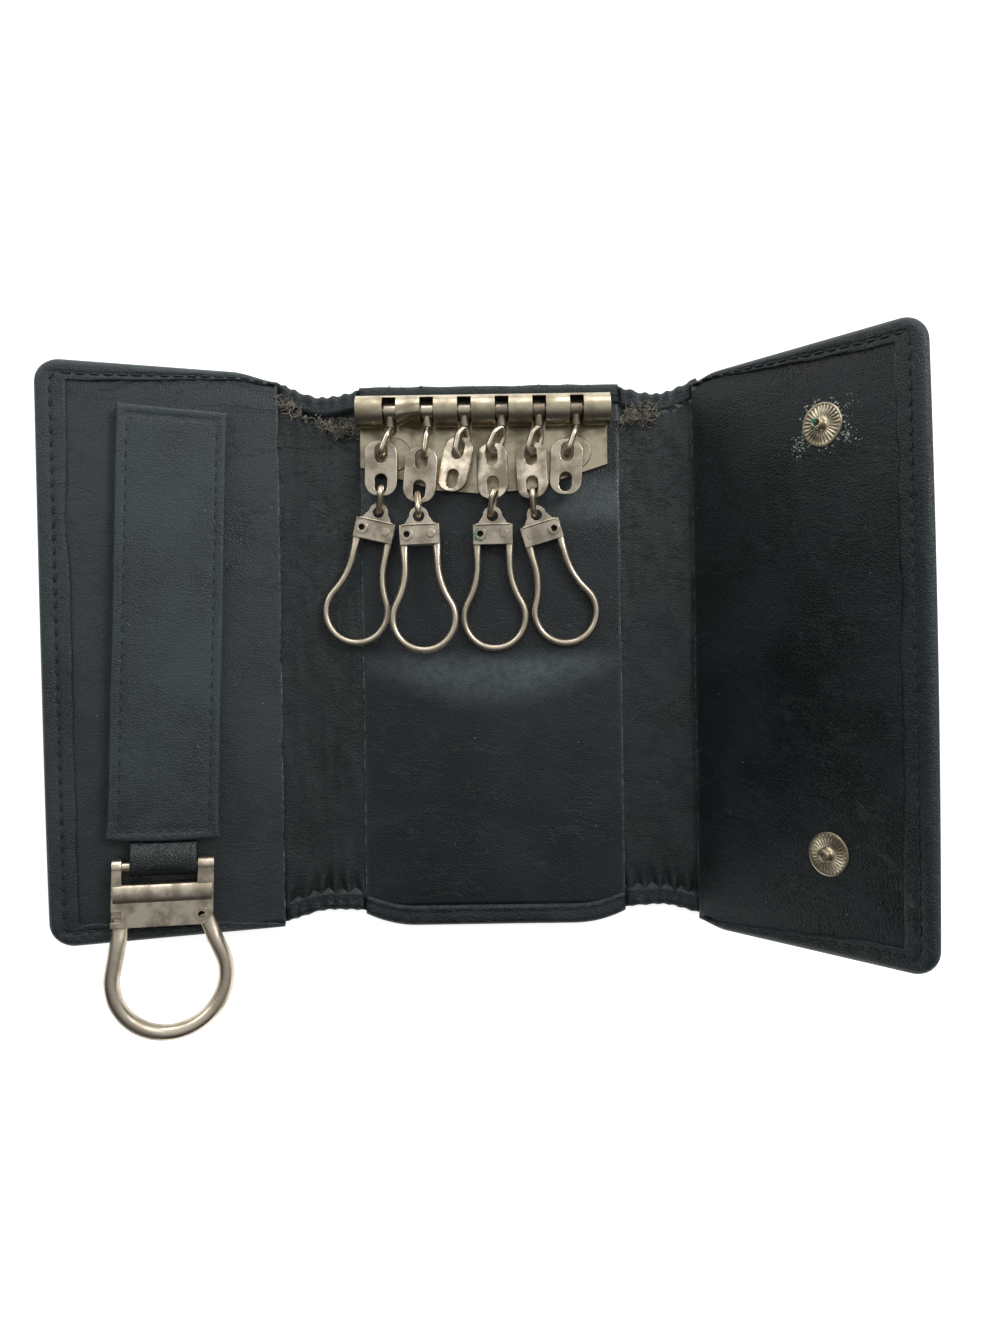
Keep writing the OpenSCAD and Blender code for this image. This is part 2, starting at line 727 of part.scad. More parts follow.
module clip_eyelet(k) {
    color(nickel) on_clip(k) translate([-eyelet_x, -eyelet_drop, 0]) difference() {
        union() {
            cylinder(r = eyelet_r, h = clip_head_t + 2 * flange_t, center = true);
            for (s = [-1, 1]) translate([0, 0, s > 0 ? clip_head_t / 2 : -clip_head_t / 2 - flange_t])
                cylinder(r = flange_r, h = flange_t);
        }
        cylinder(r = eyelet_hole_r, h = 2 * clip_head_t, center = true);
    }
}

// Bottle-shaped loop: two arms that flare on a wide arc into the round end
module clip_loop(k) {
    rise = clip_loop_drop - arm_end;
    flare_r = (clip_arm_x * clip_arm_x + rise * rise - clip_loop_r * clip_loop_r)
        / (2 * (clip_loop_r - clip_arm_x));
    turn = asin(rise / (clip_loop_r + flare_r));
    color(nickel) on_clip(k) {
        difference() {
            slab(-tab_t / 2, tab_t / 2) {
                translate([-eyelet_x, -eyelet_drop]) circle(r = tab_eye_r);
                translate([-clip_arm_x - clip_wire_r, -tab_end])
                    square([clip_wire_d, tab_end - eyelet_drop]);
                translate([clip_arm_x - clip_wire_r, -tab_end])
                    square([clip_wire_d, tab_end - eyelet_drop]);
            }
            translate([-eyelet_x, -eyelet_drop, -tab_t])
                cylinder(r = eyelet_r + run_gap, h = 2 * tab_t);
        }
        for (s = [-1, 1]) {
            bar([s * clip_arm_x, -tab_end + tab_t / 2, 0], [s * clip_arm_x, -arm_end, 0], clip_wire_r);
            translate([s * clip_arm_x, -arm_end, 0]) sphere(r = joint_share * clip_wire_r);
            translate([s * (clip_arm_x + flare_r), -arm_end, 0])
                wire_arc(flare_r, s > 0 ? 180 : -turn, s > 0 ? 180 + turn : 0, clip_wire_r);
            translate([s * clip_loop_r * cos(turn), clip_loop_r * sin(turn) - clip_loop_drop, 0])
                sphere(r = joint_share * clip_wire_r);
        }
        translate([0, -clip_loop_drop, 0]) wire_arc(clip_loop_r, 180 - turn, 360 + turn, clip_wire_r);
    }
}

// Strap: two leather layers sewn to the left flap, with the hook's leather loop between them
module strap_layer(z0, z1) {
    on_strap() translate([-strap_w / 2, strap_end_y, z0]) cube([strap_w, strap_l, z1 - z0]);
}

module strap_back() {
    color(black_leather) strap_layer(0, strap_back_t);
}

module strap_top() {
    color(black_leather) difference() {
        strap_layer(strap_back_t, strap_t);
        on_strap() translate([-keeper_w / 2, strap_end_y - cut, strap_back_t - cut])
            cube([keeper_w, tongue_l + cut, tongue_t + cut]);
    }
}

module keeper_loop() {
    color(black_leather) on_strap() translate([-keeper_w / 2, bar_y, bar_z]) difference() {
        union() {
            rotate([0, 90, 0]) cylinder(r = keeper_r, h = keeper_w);
            translate([0, 0, -tongue_t / 2])
                cube([keeper_w, strap_end_y + tongue_l - bar_y, tongue_t]);
        }
        translate([-cut, 0, 0]) rotate([0, 90, 0])
            cylinder(r = bar_r + run_gap, h = keeper_w + 2 * cut);
    }
}

// Large hook: children have the middle of the bar in the leather loop as origin
module on_hook_bar() {
    on_strap() translate([0, bar_y, bar_z]) children();
}

module hook_frame() {
    w = hook_head_w / 2;
    ear_r = hook_head_t / 2;
    ear_t = hook_head_t - 4 * run_gap;
    slot_x0 = -w + left_ear_w;
    slot_x1 = w - right_ear_w;
    notch = [0.2 * w, 0.6 * hook_head_t];
    notch_y = -0.9 * head_drop;
    color(nickel) on_hook_bar() difference() {
        union() {
            translate([-w, 0, 0]) rotate([0, 90, 0]) cylinder(r = ear_r, h = hook_head_w);
            slab(-ear_t / 2, ear_t / 2) polygon(concat([[w, 0], [-w, 0], [-w, -head_drop]],
                arc([pivot_x, -pivot_drop], head_drop - pivot_drop, -90, 0), [[w, -pivot_drop]]));
            translate([-w, -head_slot - ear_r, 0]) rotate([0, 90, 0])
                cylinder(r = ear_r, h = hook_head_w);
        }
        difference() {
            translate([slot_x0, -head_slot, -hook_head_t])
                cube([slot_x1 - slot_x0, head_slot + hook_head_t, 2 * hook_head_t]);
            translate([-w, 0, 0]) rotate([0, 90, 0]) cylinder(r = bar_r, h = hook_head_w);
        }
        translate([-w - cut, -head_drop - cut, -hook_cavity_t / 2])
            cube([hook_head_w + 2 * cut, head_drop - hook_cavity_drop + cut, hook_cavity_t]);
        translate([-w - cut, notch_y, 0])
            cube([notch[0] + cut, notch[1], hook_head_t]);
        translate([pivot_x, -pivot_drop, -hook_head_t])
            cylinder(r = pivot_r + run_gap, h = 2 * hook_head_t);
    }
}

module hook_pivot() {
    color(nickel) on_hook_bar() translate([pivot_x, -pivot_drop, 0]) difference() {
        union() {
            cylinder(r = pivot_r, h = hook_head_t + 2 * flange_t - 4 * run_gap, center = true);
            for (s = [-1, 1]) translate([0, 0, s * (hook_head_t / 2 - 2 * run_gap + flange_t / 2)])
                cylinder(r = pivot_flange_r, h = flange_t, center = true);
        }
        cylinder(r = pivot_hole_r, h = 2 * hook_head_t, center = true);
    }
}

// Angle on a circle of radius r at which the line from p touches it, on side s
function touch_angle(p, r, s) = atan2(p[1], p[0]) + s * acos(r / norm(p));

module hook_loop() {
    middle = [big_loop_x, -big_loop_drop];
    starts = [for (s = [-1, 1]) [big_arm_mid + s * big_arm_x, -big_arm_drop]];
    left_turn = touch_angle(starts[0] - middle, big_loop_r, 1);
    right_turn = touch_angle(starts[1] - middle, big_loop_r, -1);
    tab_top = -head_drop + 0.8 * hook_head_t;
    color(nickel) on_hook_bar() {
        difference() {
            slab(-hook_tab_t / 2, hook_tab_t / 2) {
                translate([pivot_x, -pivot_drop]) circle(r = hook_eye_r);
                polygon([[pivot_x - hook_eye_r, -pivot_drop], [pivot_x + hook_eye_r, -pivot_drop],
                    starts[1] + [big_wire_r, 0], starts[1] - [big_wire_r, 0]]);
                polygon([[starts[0][0] - big_wire_r, tab_top], [starts[0][0] + big_wire_r, tab_top],
                    starts[0] + [big_wire_r, 0], starts[0] - [big_wire_r, 0]]);
            }
            translate([pivot_x, -pivot_drop, 0])
                cylinder(r = pivot_r + run_gap, h = 2 * hook_tab_t, center = true);
        }
        for (q = [[starts[0], left_turn], [starts[1], right_turn]]) {
            tip = middle + big_loop_r * [cos(q[1]), sin(q[1])];
            bar([q[0][0], q[0][1], 0], [tip[0], tip[1], 0], big_wire_r);
            for (p = [q[0], tip]) translate([p[0], p[1], 0]) sphere(r = joint_share * big_wire_r);
        }
        translate([middle[0], middle[1], 0])
            wire_arc(big_loop_r, left_turn, 360 + right_turn, big_wire_r);
    }
}

// Snap studs on the right flap, held by flanged posts under its lining
module snap_studs() {
    color(brassy) on_flap(1) for (y = snap_ys) translate([stud_hinge_x, y, flap_in]) difference() {
        union() {
            cylinder(r = stud_disc_d / 2, h = stud_disc_t);
            cylinder(r = stud_post_d / 2, h = stud_h);
        }
        translate([0, 0, -cut]) cylinder(r = post_shank_r + run_gap, h = stud_h / 2 + cut);
    }
}

module snap_posts() {
    color(nickel) on_flap(1) for (y = snap_ys) translate([stud_hinge_x, y, back_top]) {
        cylinder(r = post_flange_r, h = post_flange_t);
        cylinder(r = post_shank_r, h = board_t + lining_t + stud_h / 2 - run_gap);
    }
}

// Snap sockets in the left flap's outer face, and the caps under its lining that hold them
module snap_sockets() {
    color(nickel) on_flap(-1) for (y = snap_ys) translate([socket_hinge_x, y, -fold_r]) difference() {
        union() {
            translate([0, 0, -socket_lip_t]) cylinder(r = socket_lip_r, h = socket_lip_t);
            translate([0, 0, -socket_lip_t / 2])
                cylinder(r = socket_cup_r, h = socket_depth + socket_wall + socket_lip_t / 2);
        }
        translate([0, 0, -socket_lip_t - cut])
            cylinder(r = stud_post_d / 2 + socket_play, h = socket_depth + socket_lip_t + cut);
    }
}

module snap_caps() {
    color(nickel) on_flap(-1) for (y = snap_ys) translate([socket_hinge_x, y, socket_top()])
        cylinder(r = socket_lip_r - run_gap, h = cap_t);
}

centre_back();
centre_lining();
left_fold_back();
left_fold_lining();
right_fold_back();
right_fold_lining();
left_flap_back();
left_flap_board();
left_flap_lining();
right_flap_back();
right_flap_board();
right_flap_lining();
key_plate();
rail_rod();
plate_rivets();
strap_back();
strap_top();
keeper_loop();
hook_frame();
hook_loop();
hook_pivot();
snap_studs();
snap_posts();
snap_sockets();
snap_caps();
for (i = [1:stations]) {
    collar(i);
    swivel_hook(i);
    flat_link(i);
}
for (k = [1:len(clip_stations)]) {
    oval_ring(k);
    clip_head(k);
    clip_loop(k);
    clip_eyelet(k);
}
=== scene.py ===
"""Looks of a worn leather key case with a key row, four key clips, a strap hook and two snaps."""

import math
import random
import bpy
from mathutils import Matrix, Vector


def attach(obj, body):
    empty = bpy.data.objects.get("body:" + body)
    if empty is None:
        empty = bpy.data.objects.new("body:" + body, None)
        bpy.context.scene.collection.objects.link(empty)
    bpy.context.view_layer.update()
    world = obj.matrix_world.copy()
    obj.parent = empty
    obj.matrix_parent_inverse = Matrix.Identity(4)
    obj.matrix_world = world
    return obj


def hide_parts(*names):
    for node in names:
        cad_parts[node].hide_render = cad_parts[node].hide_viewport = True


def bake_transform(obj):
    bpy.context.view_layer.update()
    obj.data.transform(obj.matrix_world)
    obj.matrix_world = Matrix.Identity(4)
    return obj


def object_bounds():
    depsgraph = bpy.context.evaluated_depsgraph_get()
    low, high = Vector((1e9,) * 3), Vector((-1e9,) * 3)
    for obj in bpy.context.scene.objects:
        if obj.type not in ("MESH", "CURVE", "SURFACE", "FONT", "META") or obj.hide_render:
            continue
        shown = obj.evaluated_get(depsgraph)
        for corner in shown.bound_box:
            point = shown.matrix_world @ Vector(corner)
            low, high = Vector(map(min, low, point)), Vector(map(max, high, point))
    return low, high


bl_info = {
    "name": "Leather Key Case",
    "version": (1, 0, 0),
    "blender": (4, 5, 0),
    "location": "View3D > Sidebar > Key Case",
    "description": "Builds the leather, stitching and metal fittings of a folding key case",
    "category": "Object",
}

import bmesh
import bpy
from bpy.props import FloatProperty, FloatVectorProperty, IntProperty, PointerProperty
from mathutils import Matrix, Vector, noise

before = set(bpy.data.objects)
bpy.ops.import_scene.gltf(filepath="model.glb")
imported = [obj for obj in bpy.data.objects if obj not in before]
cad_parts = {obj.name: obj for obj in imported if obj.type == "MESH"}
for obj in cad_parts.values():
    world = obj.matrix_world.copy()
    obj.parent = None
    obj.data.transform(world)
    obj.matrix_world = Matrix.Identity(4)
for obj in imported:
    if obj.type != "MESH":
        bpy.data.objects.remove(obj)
CAD_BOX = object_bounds()
MM = 0.001
LEFT, RIGHT = -1, 1
SIDE_NAMES = {LEFT: "left", RIGHT: "right"}

# Sizes that the construction fixes, in millimetres and degrees
CASE_H = 107
CENTRE_HALF = 25.9
CENTRE_TOP = 1.9
LEATHER_HALF = 0.8
# The centre's lower corners are drawn up by a rise, over a run of its width
CORNER_RISE = 2.4
CORNER_RUN = 10
# Inner folds, and the flaps' leather behind the outer ones
FOLD_X = 26.9
SETBACK = {LEFT: 1.75, RIGHT: 1.0}
STRIP_L = {LEFT: 13.64, RIGHT: 14.0}
STRIP_H = 102
STRIP_TILT = {LEFT: 6, RIGHT: 0}
FLAP_TILT = {LEFT: 18, RIGHT: 49.5}
FLAP_W = {LEFT: 44.45, RIGHT: 47.8}
FLAP_IN = 1.6
CORNER_R = 4.5
HEM_TOP = 2.0
HEM_SIDE = 5.4
HEM_END = 4.1
# Where the sewing presses the leather in: from a long edge, over a turned end, and on the strap
SEAM_INSET = 2.7
SEAM_SHARE = 0.66
STRAP_SEAM = 1.9
RAIL_Y = 48
RAIL_Z = 5
RIVET_X = (-19.1, 16.9)
RIVET_Y = 40
RIVET_R = 3.36
SHEET_T = 0.8
STATION_X = (-19.425, -12.095, -4.765, 2.565, 9.895, 17.225)
RING_PLACES = (
    (-21.4628, 31.7123, 5),
    (-14.0952, 30.338, 5),
    (0.715142, 30.868, 5),
    (8.52191, 30.8495, 5),
)
# Each bend's half width, and the length that it hangs or runs straight
HOOK_BEND, HOOK_DROP = 1.4, 5.4
RING_BEND, RING_STRAIGHT = 1.45, 2.2
# Half thicknesses of the wires, as drawn
HOOK_WIRE_R, RING_WIRE_R, CLIP_WIRE_R, LOOP_WIRE_R = 0.61, 0.6, 0.7, 1.5
# The hooks leave their collars this far below the rail's pin
HOOK_ROOT = 3.55
EYELET = (-2.5, -3.572)
STUD_X = 30.2
STUD_Y = (39.5, -36.6)
# Camera: its place in metres, its roll and its lens
CAMERA_PLACE = (0.0015, -0.0025, 0.202)
CAMERA_ROLL = -0.85
CAMERA_LENS = 27.0


def linear(colour):
    """Blender's linear colour of an sRGB hex colour."""
    parts = [int(colour[i : i + 2], 16) / 255 for i in (1, 3, 5)]
    return [c / 12.92 if c <= 0.04045 else ((c + 0.055) / 1.055) ** 2.4 for c in parts]


def tilted(x, z, tilt, side):
    """Frame of a leather panel: X outwards from the fold, Z on the lining side, in millimetres."""
    a = math.radians(tilt)
    return Matrix(
        (
            (side * math.cos(a), 0, -side * math.sin(a), x),
            (0, 1, 0, 0),
            (math.sin(a), 0, math.cos(a), z),
            (0, 0, 0, 1),
        )
    )


def strip_end(side):
    """Place of the outer fold of a strip."""
    return tilted(side * FOLD_X, LEATHER_HALF, STRIP_TILT[side], side) @ Vector((STRIP_L[side], 0, 0))


FLAP = {s: tilted(strip_end(s).x, strip_end(s).z, FLAP_TILT[s], s) for s in (LEFT, RIGHT)}
# The strap: its middle on the left flap, its lean, its size, and the leather loop and hook's bar below it
STRAP_X = SETBACK[LEFT] + 21.4
STRAP_LEAN = 1.9
STRAP = (
    Matrix.Translation(FLAP[LEFT] @ Vector((STRAP_X, 0, FLAP_IN)))
    @ Matrix.Rotation(math.radians(FLAP_TILT[LEFT]), 4, "Y")
    @ Matrix.Rotation(math.radians(-STRAP_LEAN), 4, "Z")
)
STRAP_W = 20
STRAP_Y = (-34.5, 47.4)
STRAP_T = 3
LOOP_HALF = 6.05
BAR_Y = STRAP_Y[0] - 4.6
BAR_Z = 2.25
BAR = STRAP @ Matrix.Translation((0, BAR_Y, BAR_Z))


class KeyCaseSettings(bpy.types.PropertyGroup):
    """Colours and small sizes of the key case"""

    leather_colour: FloatVectorProperty(
        name="Leather", description="Colour of the grained outer leather", subtype="COLOR", default=linear("#161e21")
    )
    lining_colour: FloatVectorProperty(
        name="Lining", description="Colour of the smooth leather panels", subtype="COLOR", default=linear("#0d171a")
    )
    # Painted light: a paler colour for the left flap's leather, standing in for the light that the flap catches
    lit_flap_colour: FloatVectorProperty(
        name="Lit flap lining", description="Colour of the left flap's panel, painted paler where it catches the light",
        subtype="COLOR", default=linear("#22292c")
    )
    strip_colour: FloatVectorProperty(
        name="Fold lining", description="Colour of the crinkled lining in the folds",
        subtype="COLOR", default=linear("#131b1c")
    )
    strap_colour: FloatVectorProperty(
        name="Strap", description="Colour of the strap's leather", subtype="COLOR", default=linear("#2b3538")
    )
    thread_colour: FloatVectorProperty(
        name="Thread", description="Colour of the sewing thread", subtype="COLOR", default=linear("#111516")
    )
    fibre_colour: FloatVectorProperty(
        name="Raw fibre", description="Colour of torn and raw leather", subtype="COLOR", default=linear("#a39a8b")
    )
    nickel_colour: FloatVectorProperty(
        name="Nickel", description="Colour of the worn nickel plating", subtype="COLOR", default=linear("#dacdb8")
    )
    brass_colour: FloatVectorProperty(
        name="Brassy nickel", description="Colour where the plating has gone yellow",
        subtype="COLOR", default=linear("#c9bda3")
    )
    grain_size: FloatProperty(
        name="Grain", description="Width of one grain of the leather",
        subtype="DISTANCE", default=0.0006, min=0.0002, max=0.002
    )
    stitch_pitch: FloatProperty(
        name="Stitch pitch", description="Distance between two stitches",
        subtype="DISTANCE", default=0.0025, min=0.0015, max=0.005
    )
    stitch_inset: FloatProperty(
        name="Stitch inset", description="Distance of the sewing from the edge",
        subtype="DISTANCE", default=0.0027, min=0.001, max=0.004
    )
    stud_ribs: IntProperty(
        name="Stud ribs", description="Number of ribs round a snap stud", default=28, min=12, max=48
    )


def settings():
    """The colours and small sizes set for this case."""
    return bpy.context.scene.key_case


# Materials

# Scales of the patterns, in features per metre: creases where the skin has bent, about 10 mm apart; dull and
# glossy clouds, 20 mm; specks of dust, 5 mm; pits in the plating, 0.5 mm; scratches in it, 1 mm
CREASES, CLOUDS, DUST, PITS, SCRATCHES = 95, 48, 210, 1900, 900


def add_node(tree, kind, values=None, links=None):
    """One shader node with its settings and its incoming links."""
    made = tree.nodes.new(kind)
    for key, value in (values or {}).items():
        if isinstance(key, str) and hasattr(made, key):
            setattr(made, key, value)
        else:
            made.inputs[key].default_value = value
    for key, source in (links or {}).items():
        tree.links.new(source, made.inputs[key])
    return made


def ramp(tree, source, low, high, to_low=0.0, to_high=1.0):
    """Output that runs from to_low to to_high while source runs from low to high."""
    limits = {1: low, 2: high, 3: to_low, 4: to_high, "interpolation_type": "SMOOTHSTEP"}
    return add_node(tree, "ShaderNodeMapRange", limits, {0: source}).outputs[0]


def blend_colours(tree, factor, first, second):
    """Colour between two, each an output or a colour."""
    made = add_node(tree, "ShaderNodeMix", {"data_type": "RGBA"}, {0: factor})
    for slot, colour in ((6, first), (7, second)):
        if isinstance(colour, bpy.types.NodeSocket):
            tree.links.new(colour, made.inputs[slot])
        else:
            made.inputs[slot].default_value = (*colour[:3], 1)
    return made.outputs[2]


def start_material(name):
    """Empty node material, its Principled shader, and the piece's own coordinates."""
    made = bpy.data.materials.new(name)
    made.use_nodes = True
    tree = made.node_tree
    tree.nodes.clear()
    shader = add_node(tree, "ShaderNodeBsdfPrincipled")
    add_node(tree, "ShaderNodeOutputMaterial", links={"Surface": shader.outputs[0]})
    coords = add_node(tree, "ShaderNodeTexCoord").outputs["Object"]
    return made, tree, shader, coords


def stretched(tree, coords, scale, turn=0.0):
    """Coordinates stretched by a scale on each axis and turned about Y."""
    for values in ({"Rotation": (0, math.radians(turn), 0)}, {"Scale": scale}):
        coords = add_node(tree, "ShaderNodeMapping", values, {"Vector": coords}).outputs[0]
    return coords


def tint(colour, factor):
    """A colour made lighter or darker."""
    return [min(1, c * factor) for c in colour]


def leather(name, colour, gloss, crease, depth, run=(1, 1, 1), rub_and_sheen=None):
    """Drum-dyed calfskin, finished with a thin wax: fine round grain, soft sheen, paler where rubbed or torn, and
    paler where a painted highlight is laid.
    """
    made, tree, shader, coords = start_material(name)
    grain = settings().grain_size
    values = {"feature": "DISTANCE_TO_EDGE", "Scale": 1 / grain, "Randomness": 0.9}
    cells = add_node(tree, "ShaderNodeTexVoronoi", values, {"Vector": coords}).outputs["Distance"]
    pores, bent, clouds = (
        add_node(tree, "ShaderNodeTexNoise", values, {"Vector": at}).outputs[0]
        for values, at in (
            ({"Scale": 0.4 / grain, "Detail": 3}, coords),
            ({"Scale": CREASES, "Detail": 7, "Roughness": 0.62, "Distortion": 0.9}, stretched(tree, coords, run)),
            ({"Scale": CLOUDS, "Detail": 4, "Roughness": 0.62}, coords),
        )
    )
    # Thin lines, where the creases' noise crosses its middle
    off = add_node(tree, "ShaderNodeMath", {"operation": "SUBTRACT", 1: 0.5}, {0: bent}).outputs[0]
    off = add_node(tree, "ShaderNodeMath", {"operation": "ABSOLUTE"}, {0: off}).outputs[0]
    lines = ramp(tree, off, 0.0, 0.012, crease, 0.0)
    # Dust: single pale specks 0.2 mm across
    specks = add_node(tree, "ShaderNodeTexVoronoi", {"Scale": DUST}, {"Vector": coords}).outputs["Distance"]
    dust = ramp(tree, specks, 0.022, 0.034, 0.55, 0.0)
    paint = blend_colours(tree, ramp(tree, clouds, 0.32, 0.7), tint(colour, 0.5), tint(colour, 1.25))
    paint = blend_colours(tree, ramp(tree, lines, 0.0, 1.0, 0.0, 0.2), paint, tint(colour, 2.0))
    # Paler by the wear attribute: rubbed wear, and on the centre panel a painted highlight; raw fibre by the raw
    # attribute
    for layer, reach, pale in (
        ("wear_and_sheen", (0.3, 0.62, 0.6, 1), rub_and_sheen or tint(colour, 2.0)),
        ("raw", (0.45, 0.62, 0.05, 0.5), linear("#969c99")),
    ):
        share = add_node(tree, "ShaderNodeAttribute", {"attribute_name": layer}).outputs["Fac"]
        links = {0: share, 1: ramp(tree, pores, *reach)}
        paint = blend_colours(
            tree, add_node(tree, "ShaderNodeMath", {"operation": "MULTIPLY"}, links).outputs[0], paint, pale
        )
    paint = blend_colours(tree, dust, paint, linear("#8f9496"))
    tree.links.new(paint, shader.inputs["Base Color"])
    tree.links.new(ramp(tree, clouds, 0.3, 0.72, gloss - 0.07, gloss + 0.1), shader.inputs["Roughness"])
    normal = {}
    for strength, distance, height, sunk in (
        (0.7 * depth, 0.00009, ramp(tree, cells, 0.0, 0.22), False),
        (0.6 * depth, 0.00012, pores, False),
        (0.5, 0.00018, lines, True),
    ):
        values = {"Strength": strength, "Distance": distance, "invert": sunk}
        normal = {"Normal": add_node(tree, "ShaderNodeBump", values, {"Height": height, **normal}).outputs[0]}
    tree.links.new(normal["Normal"], shader.inputs["Normal"])
    return made


def worn_metal(name, colour, tarnish, dirt, rough=0.3, patches=260):
    """Plated brass, cast or rolled and tumbled smooth: grey sheen, brown film in scattered patches, darker in pits,
    fine scratches.
    """
    made, tree, shader, coords = start_material(name)
    film, pits, scratches = (
        add_node(tree, "ShaderNodeTexNoise", values, {"Vector": at}).outputs[0]
        for values, at in (
            ({"Scale": patches, "Detail": 3, "Roughness": 0.55}, coords),
            ({"Scale": PITS, "Detail": 3}, coords),
            ({"Scale": SCRATCHES, "Detail": 2}, stretched(tree, coords, (1, 0.12, 1), 20)),
        )
    )
    paint = blend_colours(tree, ramp(tree, film, 0.38, 0.66, 0.0, dirt), colour, tarnish)
    paint = blend_colours(tree, ramp(tree, pits, 0.62, 0.78, 0.0, 0.45), paint, tint(tarnish, 0.6))
    tree.links.new(paint, shader.inputs["Base Color"])
    shader.inputs["Metallic"].default_value = 1
    tree.links.new(ramp(tree, film, 0.3, 0.75, rough - 0.06, rough + 0.2), shader.inputs["Roughness"])
    normal = {}
    for strength, distance, height in ((0.3, 0.00003, film), (0.2, 0.00001, scratches)):
        values = {"Strength": strength, "Distance": distance}
        normal = {"Normal": add_node(tree, "ShaderNodeBump", values, {"Height": height, **normal}).outputs[0]}
    tree.links.new(normal["Normal"], shader.inputs["Normal"])
    return made


def matt(name, colour, other, size, rough=0.9, bump=0.0001):
    """Fibre, thread, grime, copper crust or painted shade in a hole: no gloss, mottled in patches of one size."""
    made, tree, shader, coords = start_material(name)
    fleck = add_node(tree, "ShaderNodeTexNoise", {"Scale": 1 / size, "Detail": 4}, {"Vector": coords}).outputs[0]
    tree.links.new(blend_colours(tree, ramp(tree, fleck, 0.35, 0.65), colour, other), shader.inputs["Base Color"])
    shader.inputs["Roughness"].default_value = rough
    rough_bump = add_node(tree, "ShaderNodeBump", {"Strength": 0.6, "Distance": bump}, {"Height": fleck})
    tree.links.new(rough_bump.outputs[0], shader.inputs["Normal"])
    return made


def finish_named(name):
    """The finish of that name, made the first time it is asked for."""
    found = bpy.data.materials.get(name)
    if found:
        return found
    s = settings()
    # Creases that are drawn out along a panel's height
    upright = (0.7, 1.6, 1)
    recipes = {
        "waxed_calfskin_outer": (leather, dict(colour=s.leather_colour, gloss=0.42, crease=0.8, depth=0.7)),
        # The lining's pale colour serves both rubbed wear and the centre panel's painted highlight
        "smooth_calfskin_lining": (leather, dict(
            colour=s.lining_colour, gloss=0.38, crease=0.25, depth=0.5, run=upright, rub_and_sheen=linear("#4f585b")
        )),
        # The left flap's finishes: rougher, and in a paler colour that is painted light for the light the flap
        # catches
        "dulled_calfskin_lining": (leather, dict(
            colour=s.lit_flap_colour, gloss=0.45, crease=0.6, depth=0.5, run=upright
        )),
        "dulled_calfskin_outer": (leather, dict(colour=s.lit_flap_colour, gloss=0.45, crease=0.8, depth=0.6)),
        "crinkled_fold_lining": (leather, dict(
            colour=s.strip_colour, gloss=0.5, crease=1.0, depth=0.7, run=(0.8, 1.8, 1)
        )),
        "strap_calfskin": (leather, dict(colour=s.strap_colour, gloss=0.46, crease=0.4, depth=0.7)),
        "waxed_thread": (matt, dict(
            colour=s.thread_colour, other=tint(s.thread_colour, 2.2), size=0.0005, rough=0.6
        )),
        "torn_leather_fibre": (matt, dict(colour=s.fibre_colour, other=tint(s.fibre_colour, 0.6), size=0.0012)),
        "tumbled_nickel_plate": (worn_metal, dict(colour=s.nickel_colour, tarnish=linear("#6f6454"), dirt=0.7)),
        "polished_nickel_wire": (worn_metal, dict(
            colour=s.nickel_colour, tarnish=linear("#8a7c68"), patches=180, dirt=0.45
        )),
        "yellowed_nickel_sheet": (worn_metal, dict(
            colour=s.brass_colour, tarnish=linear("#766a54"), patches=240, dirt=0.65
        )),
        "grime": (matt, dict(colour=linear("#2b2620"), other=linear("#4a4234"), size=0.0005)),
        "copper_green_crust": (matt, dict(colour=linear("#1f6e5c"), other=linear("#5f9a88"), size=0.0005)),
        "pale_copper_salt": (matt, dict(colour=linear("#98a598"), other=linear("#c4c8bd"), size=0.0006)),
        # Painted shade: the dark disc set in each eyelet's hole
        "dark_hollow": (matt, dict(colour=linear("#15120f"), other=linear("#241f1a"), size=0.0008)),
    }
    maker, values = recipes[name]
    return maker(name, **values)


# Making pieces


def finish_piece(bm, name, finishes, body, slot, stands_for=(), sharp=None):
    """Turns a bmesh into a piece of the part; slot, its place in its mesh, is not used."""
    bmesh.ops.scale(bm, vec=(MM, MM, MM), verts=bm.verts)
    bmesh.ops.recalc_face_normals(bm, faces=bm.faces)
    for face in bm.faces:
        face.smooth = True
    if sharp:
        for edge in bm.edges:
            if len(edge.link_faces) == 2 and edge.calc_face_angle() > math.radians(sharp):
                edge.smooth = False
    mesh = bpy.data.meshes.new(name)
    bm.to_mesh(mesh)
    bm.free()
    piece = bpy.data.objects.new(name, mesh)
    for finish in finishes:
        mesh.materials.append(finish_named(finish))
    bpy.context.scene.collection.objects.link(piece)
    if stands_for:
        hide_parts(*stands_for)
    if isinstance(body, str):
        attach(piece, body)
    else:
        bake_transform(piece)
    return piece


def keep_flats(piece):
    """Weighted normals, so that flats stay flat beside rounded edges."""
    piece.modifiers.new("Flats", "WEIGHTED_NORMAL").keep_sharp = True


def wave(x, y, size, seed=0.0, detail=1):
    """Smooth noise from -1 to 1, with hollows about size apart."""
    p = Vector((x / size, y / size, seed * 7.3))
    return noise.fractal(p, 0.6, 2.0, detail) if detail > 1 else noise.noise(p) * 1.6


def stations(start, end, pitch, close=()):
    """Places from start to end at about the pitch, with the extra places in close."""
    count = max(1, round((end - start) / pitch))
    places = [start + (end - start) * i / count for i in range(count + 1)]
    extra = [p for p in close if start < p < end]
    places = [p for p in places if all(abs(p - q) > pitch * 0.3 for q in extra) or p in (start, end)]
    return sorted(set(places + extra))


def edge_places(start, end, pitch, near_start=True, near_end=True, extra=()):
    """Places along a panel, close together where its edges are rounded."""
    fine = (0.06, 0.18, 0.36, 0.6, 0.95, 1.4)
    close = [start + f for f in fine if near_start] + [end - f for f in fine if near_end] + list(extra)
    return stations(start, end, pitch, close)


